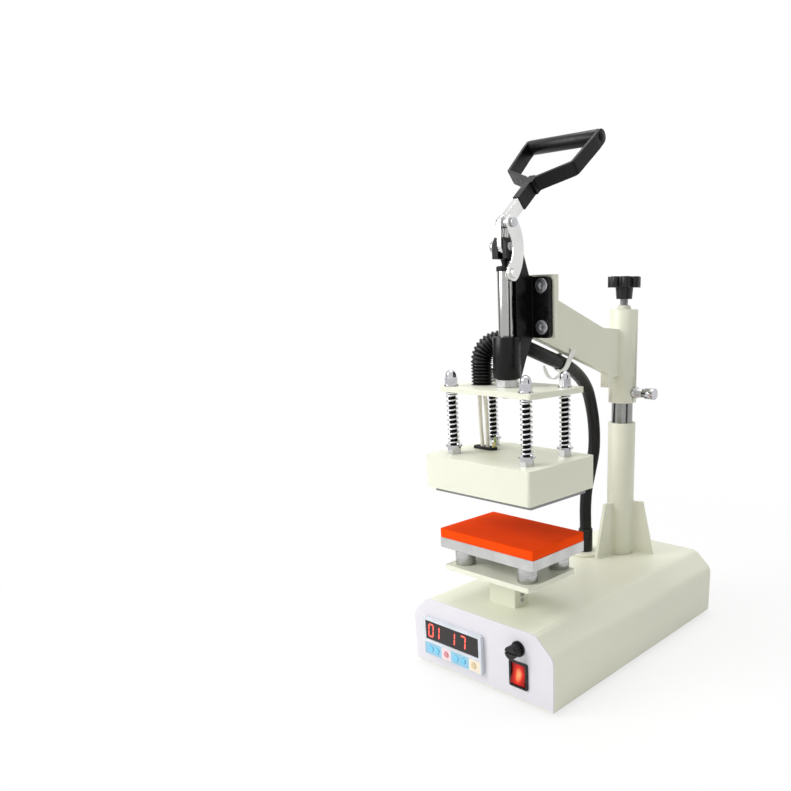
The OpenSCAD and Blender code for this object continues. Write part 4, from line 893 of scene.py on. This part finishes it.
class PressTieTail(bpy.types.Operator):
    """Curls the free end of the hose tie below the hose"""
    bl_idname = "press.tie_tail"
    bl_label = "Tie tail"

    def execute(self, context):
        line = smooth_line(row_points(TIE_TAIL), steps=5)
        last = len(line) - 1
        side = Vector((1, 0, 0))
        half_wide, half_thick = 0.0023, 0.0006
        # The last steps narrow to the tip
        tip_steps, narrowing = 4, 0.8
        rings = []
        for i, centre in enumerate(line):
            along = (line[min(i + 1, last)] - line[max(i - 1, 0)]).normalized()
            across = side * half_wide * narrowing ** max(0, i - last + tip_steps)
            thick = along.cross(side).normalized() * half_thick
            rings.append([centre - across - thick, centre + across - thick, centre + across + thick,
                          centre - across + thick])
        tail = piece("tie_tail", skin(rings), "white_plastic")
        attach(tail, "arm")
        return {"FINISHED"}


class PressWelds(bpy.types.Operator):
    """Lays the painted weld beads of the arm and of the column's gussets"""
    bl_idname = "press.welds"
    bl_label = "Weld beads"

    def execute(self, context):
        radius = context.scene.press_sizes.weld_width / 2
        sleeve_low, sleeve_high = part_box("arm_sleeve")
        arm_low, arm_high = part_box("arm_plate")
        tube_r = (sleeve_high.x - sleeve_low.x) / 2
        half_arm, clamp_plate = 0.0055, 0.005
        sleeve_y = COLUMN.y - math.sqrt(tube_r ** 2 - half_arm ** 2)
        # Both ends of each bead, from the sleeve's foot and from the arm plate's top
        sleeve_ends, plate_ends = (0.036, 0.0915), (-0.0635, -0.0125)
        beads = []
        for x in (-half_arm, half_arm):
            for y, level, ends in ((sleeve_y, sleeve_low.z, sleeve_ends),
                                   (arm_low.y + clamp_plate, arm_high.z, plate_ends)):
                beads.append(weld_bead(*(Vector((x, y, level + end)) for end in ends), radius))
        arm_welds = piece("arm_welds", gather(*beads), "cream", SWEPT_ANGLE)
        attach(arm_welds, "arm")

        middle = COLUMN + Vector((0, 0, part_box("base_housing")[1].z))
        gussets, first_turn = 3, 22
        half_gusset, gusset_top, gusset_reach, lift = 0.0025, 0.0735, 0.0475, 0.001
        column_x = math.sqrt(tube_r ** 2 - half_gusset ** 2)
        beads = []
        for gusset in range(gussets):
            turn = Matrix.Rotation(math.radians(first_turn + 360 / gussets * gusset), 4, "Z")
            for y in (-half_gusset, half_gusset):
                for a, b in (((column_x, y, lift), (column_x, y, gusset_top)),
                             ((column_x, y, 0.0), (gusset_reach, y, 0.0))):
                    beads.append(weld_bead(middle + turn @ Vector(a), middle + turn @ Vector(b), radius))
        base_welds = piece("base_welds", gather(*beads), "cream", SWEPT_ANGLE)
        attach(base_welds, "base")
        return {"FINISHED"}


FINISH_NODES = {
    "cream": "base_housing bottom_cover column gland_flange platen_pedestal platen_carrier arm_sleeve "
             "arm_plate upper_plate head_cover",
    "panel": "front_panel",
    "zinc": "cover_screws platen_screws thrust_pad clamp_bolts handle_pivot index_body plunger_nuts "
            "link_pin heating_element",
    "rubber": "rubber_feet wire_grommet",
    "grey_plastic": "controller_case",
    "window": "display_window",
    "key_film": "key_panel",
    "key_blue": "key_1 key_2 key_4 key_5",
    "key_red": "key_3",
    "key_yellow": "key_6",
    "black_plastic": "rocker_frame fuse_holder fuse_cap mains_inlet hose_fitting star_knob",
    "rocker": "rocker",
    "white_plastic": "power_relay hose_tie",
    "post_steel": "post",
    "turned_aluminium": "platen_standoffs",
    "aluminium": "lower_platen",
    "silicone": "silicone_pad",
    "screwed_steel": "height_screw",
    "enamel": "clamp_frame",
    "chrome": "index_pin stud_nuts",
    "rod_steel": "plunger_rod",
    "bright_steel": "handle_lever toggle_link",
    "handle_coat": "handle_straps handle_grip",
    "stained_aluminium": "heating_plate",
    "oxide_stud": "guide_studs",
    "spring": "head_springs",
    "hose_rubber": "hose_lower hose_upper",
    "conduit": "hose_ribbed",
    "lead": "heater_leads",
}
NODE_FINISH = {node: key for key, nodes in FINISH_NODES.items() for node in nodes.split()}
# Edge rounding of the nodes that differ from the sheet and plate, in millimetres, with none on flat sheets
NODE_ROUND = {
    "base_housing": 1.2, "head_cover": 1.6, "handle_straps": 0.9, "handle_grip": 1.2, "star_knob": 1.6,
    "clamp_frame": 0.9, "controller_case": 0.5, "rocker": 0.5, "arm_plate": 0.9, "column": 0.8,
    "front_panel": 0, "display_window": 0, "key_panel": 0, "lower_platen": 0.5, "platen_carrier": 0.5,
    "platen_pedestal": 0.5, "heating_plate": 0.6, "fuse_cap": 0.7, "index_pin": 0.8, "toggle_link": 0.6,
    "clamp_bolts": 1.2,
}
# Nodes whose flat faces are joined first, because rounding their holes creases the triangles between them
NODE_JOINED = ("arm_plate",)


class PressFinishes(bpy.types.Operator):
    """Gives each node of the frame its finish and rounds its edges"""
    bl_idname = "press.finishes"
    bl_label = "Finishes and edges"

    def execute(self, context):
        common = context.scene.press_sizes.edge_round
        for name, node in NODES.items():
            for slot in node.material_slots:
                slot.material = finish(NODE_FINISH[name])
            if NODE_ROUND.get(name) == 0:
                continue
            weld = node.modifiers.new("weld", "WELD")
            weld.merge_threshold = 0.00001
            if name in NODE_JOINED:
                flat = node.modifiers.new("flat", "DECIMATE")
                flat.decimate_type = "DISSOLVE"
                flat.angle_limit = math.radians(1)
            edge = node.modifiers.new("edge", "BEVEL")
            edge.width = NODE_ROUND[name] * MM if name in NODE_ROUND else common
            edge.segments = 2
            edge.limit_method = "ANGLE"
            edge.angle_limit = math.radians(38)
            edge.harden_normals = True
        return {"FINISHED"}


def stage_sheet(name, corners, material):
    """A flat sheet that stands round the press."""
    mesh = bpy.data.meshes.new(name)
    mesh.from_pydata(corners, [], [(0, 1, 2, 3)])
    mesh.materials.append(material)
    sheet = bpy.data.objects.new(name, mesh)
    bpy.context.scene.collection.objects.link(sheet)
    return sheet


class PressStage(bpy.types.Operator):
    """Sets the pale floor, the white surround and the soft studio lamps"""
    bl_idname = "press.stage"
    bl_label = "Stage"

    def execute(self, context):
        scene = context.scene
        scene.view_settings.view_transform = "Standard"
        world = bpy.data.worlds.new("press_surround")
        scene.world = world
        world.use_nodes = True
        tree = world.node_tree
        tree.nodes.clear()
        soft = add(tree, "Background", {"Color": (1.0, 1.0, 0.98, 1.0), "Strength": 0.5})
        white = add(tree, "Background", {"Color": (1.0, 1.0, 1.0, 1.0), "Strength": 1.0})
        both = add(tree, "MixShader", {0: seen_directly(tree), 1: soft.outputs[0], 2: white.outputs[0]})
        add(tree, "OutputWorld", {"Surface": both.outputs[0]})

        reach = 6.0
        floor = stage_sheet("studio_floor", [(-reach, -reach, 0), (reach, -reach, 0), (reach, reach, 0),
                                             (-reach, reach, 0)], studio_vinyl("white studio vinyl"))

        # Black cards beside the press, seen only in reflections, draw dark bands down the bright metal
        felt = black_felt("black felt")
        half_wide, lift, tall = 0.17, 0.02, Vector((0, 0, 0.9))
        for name, x, y in (("card_right", 0.8, 0.0), ("card_left", -0.74, -0.28)):
            across = Vector((-y, x, 0.0)).normalized() * half_wide
            foot = Vector((x, y, lift))
            near, far = foot - across, foot + across
            card = stage_sheet(name, [near, far, far + tall, near + tall], felt)
            card.visible_camera = card.visible_diffuse = False
            card.visible_shadow = card.visible_transmission = False

        middle = Vector((0.0, 0.0, 0.25))
        for name, toward, distance, size, power in (
                ("key_lamp", (-0.5, -0.8, 0.5), 1.9, 1.2, 22.5),
                ("top_lamp", (-0.1, 0.1, 1.0), 1.9, 1.4, 23.0),
                ("side_lamp", (1.0, -0.25, 0.45), 2.1, 1.2, 1.0)):
            data = bpy.data.lights.new(name, "AREA")
            data.shape = "DISK"
            data.size = size
            data.energy = power
            lamp = bpy.data.objects.new(name, data)
            scene.collection.objects.link(lamp)
            lamp.location = middle + Vector(toward).normalized() * distance
            lamp.rotation_euler = (middle - lamp.location).to_track_quat("-Z", "Y").to_euler()
        return {"FINISHED"}


STEPS = (PressCamera, PressHoses, PressRibbedHose, PressLeads, PressSprings, PressPad, PressDisplay,
         PressClampFittings, PressTieTail, PressWelds, PressFinishes, PressStage)


class PressPanel(bpy.types.Panel):
    """Lists the steps and the values of the heat press"""
    bl_idname = "PRESS_PT_steps"
    bl_label = "Heat press"
    bl_space_type = "VIEW_3D"
    bl_region_type = "UI"
    bl_category = "Heat press"

    def draw(self, context):
        for step in STEPS:
            self.layout.operator(step.bl_idname)
        for group in (context.scene.press_sizes, context.scene.press_colours):
            box = self.layout.box()
            for key in group.__annotations__:
                box.prop(group, key)


CLASSES = (PressSizes, PressColours) + STEPS + (PressPanel,)


def register():
    for cls in CLASSES:
        bpy.utils.register_class(cls)
    bpy.types.Scene.press_sizes = bpy.props.PointerProperty(type=PressSizes)
    bpy.types.Scene.press_colours = bpy.props.PointerProperty(type=PressColours)


def unregister():
    del bpy.types.Scene.press_colours
    del bpy.types.Scene.press_sizes
    for cls in reversed(CLASSES):
        bpy.utils.unregister_class(cls)


def main():
    register()
    for step in STEPS:
        group, name = step.bl_idname.split(".")
        getattr(getattr(bpy.ops, group), name)()


if __name__ == "__main__":
    main()
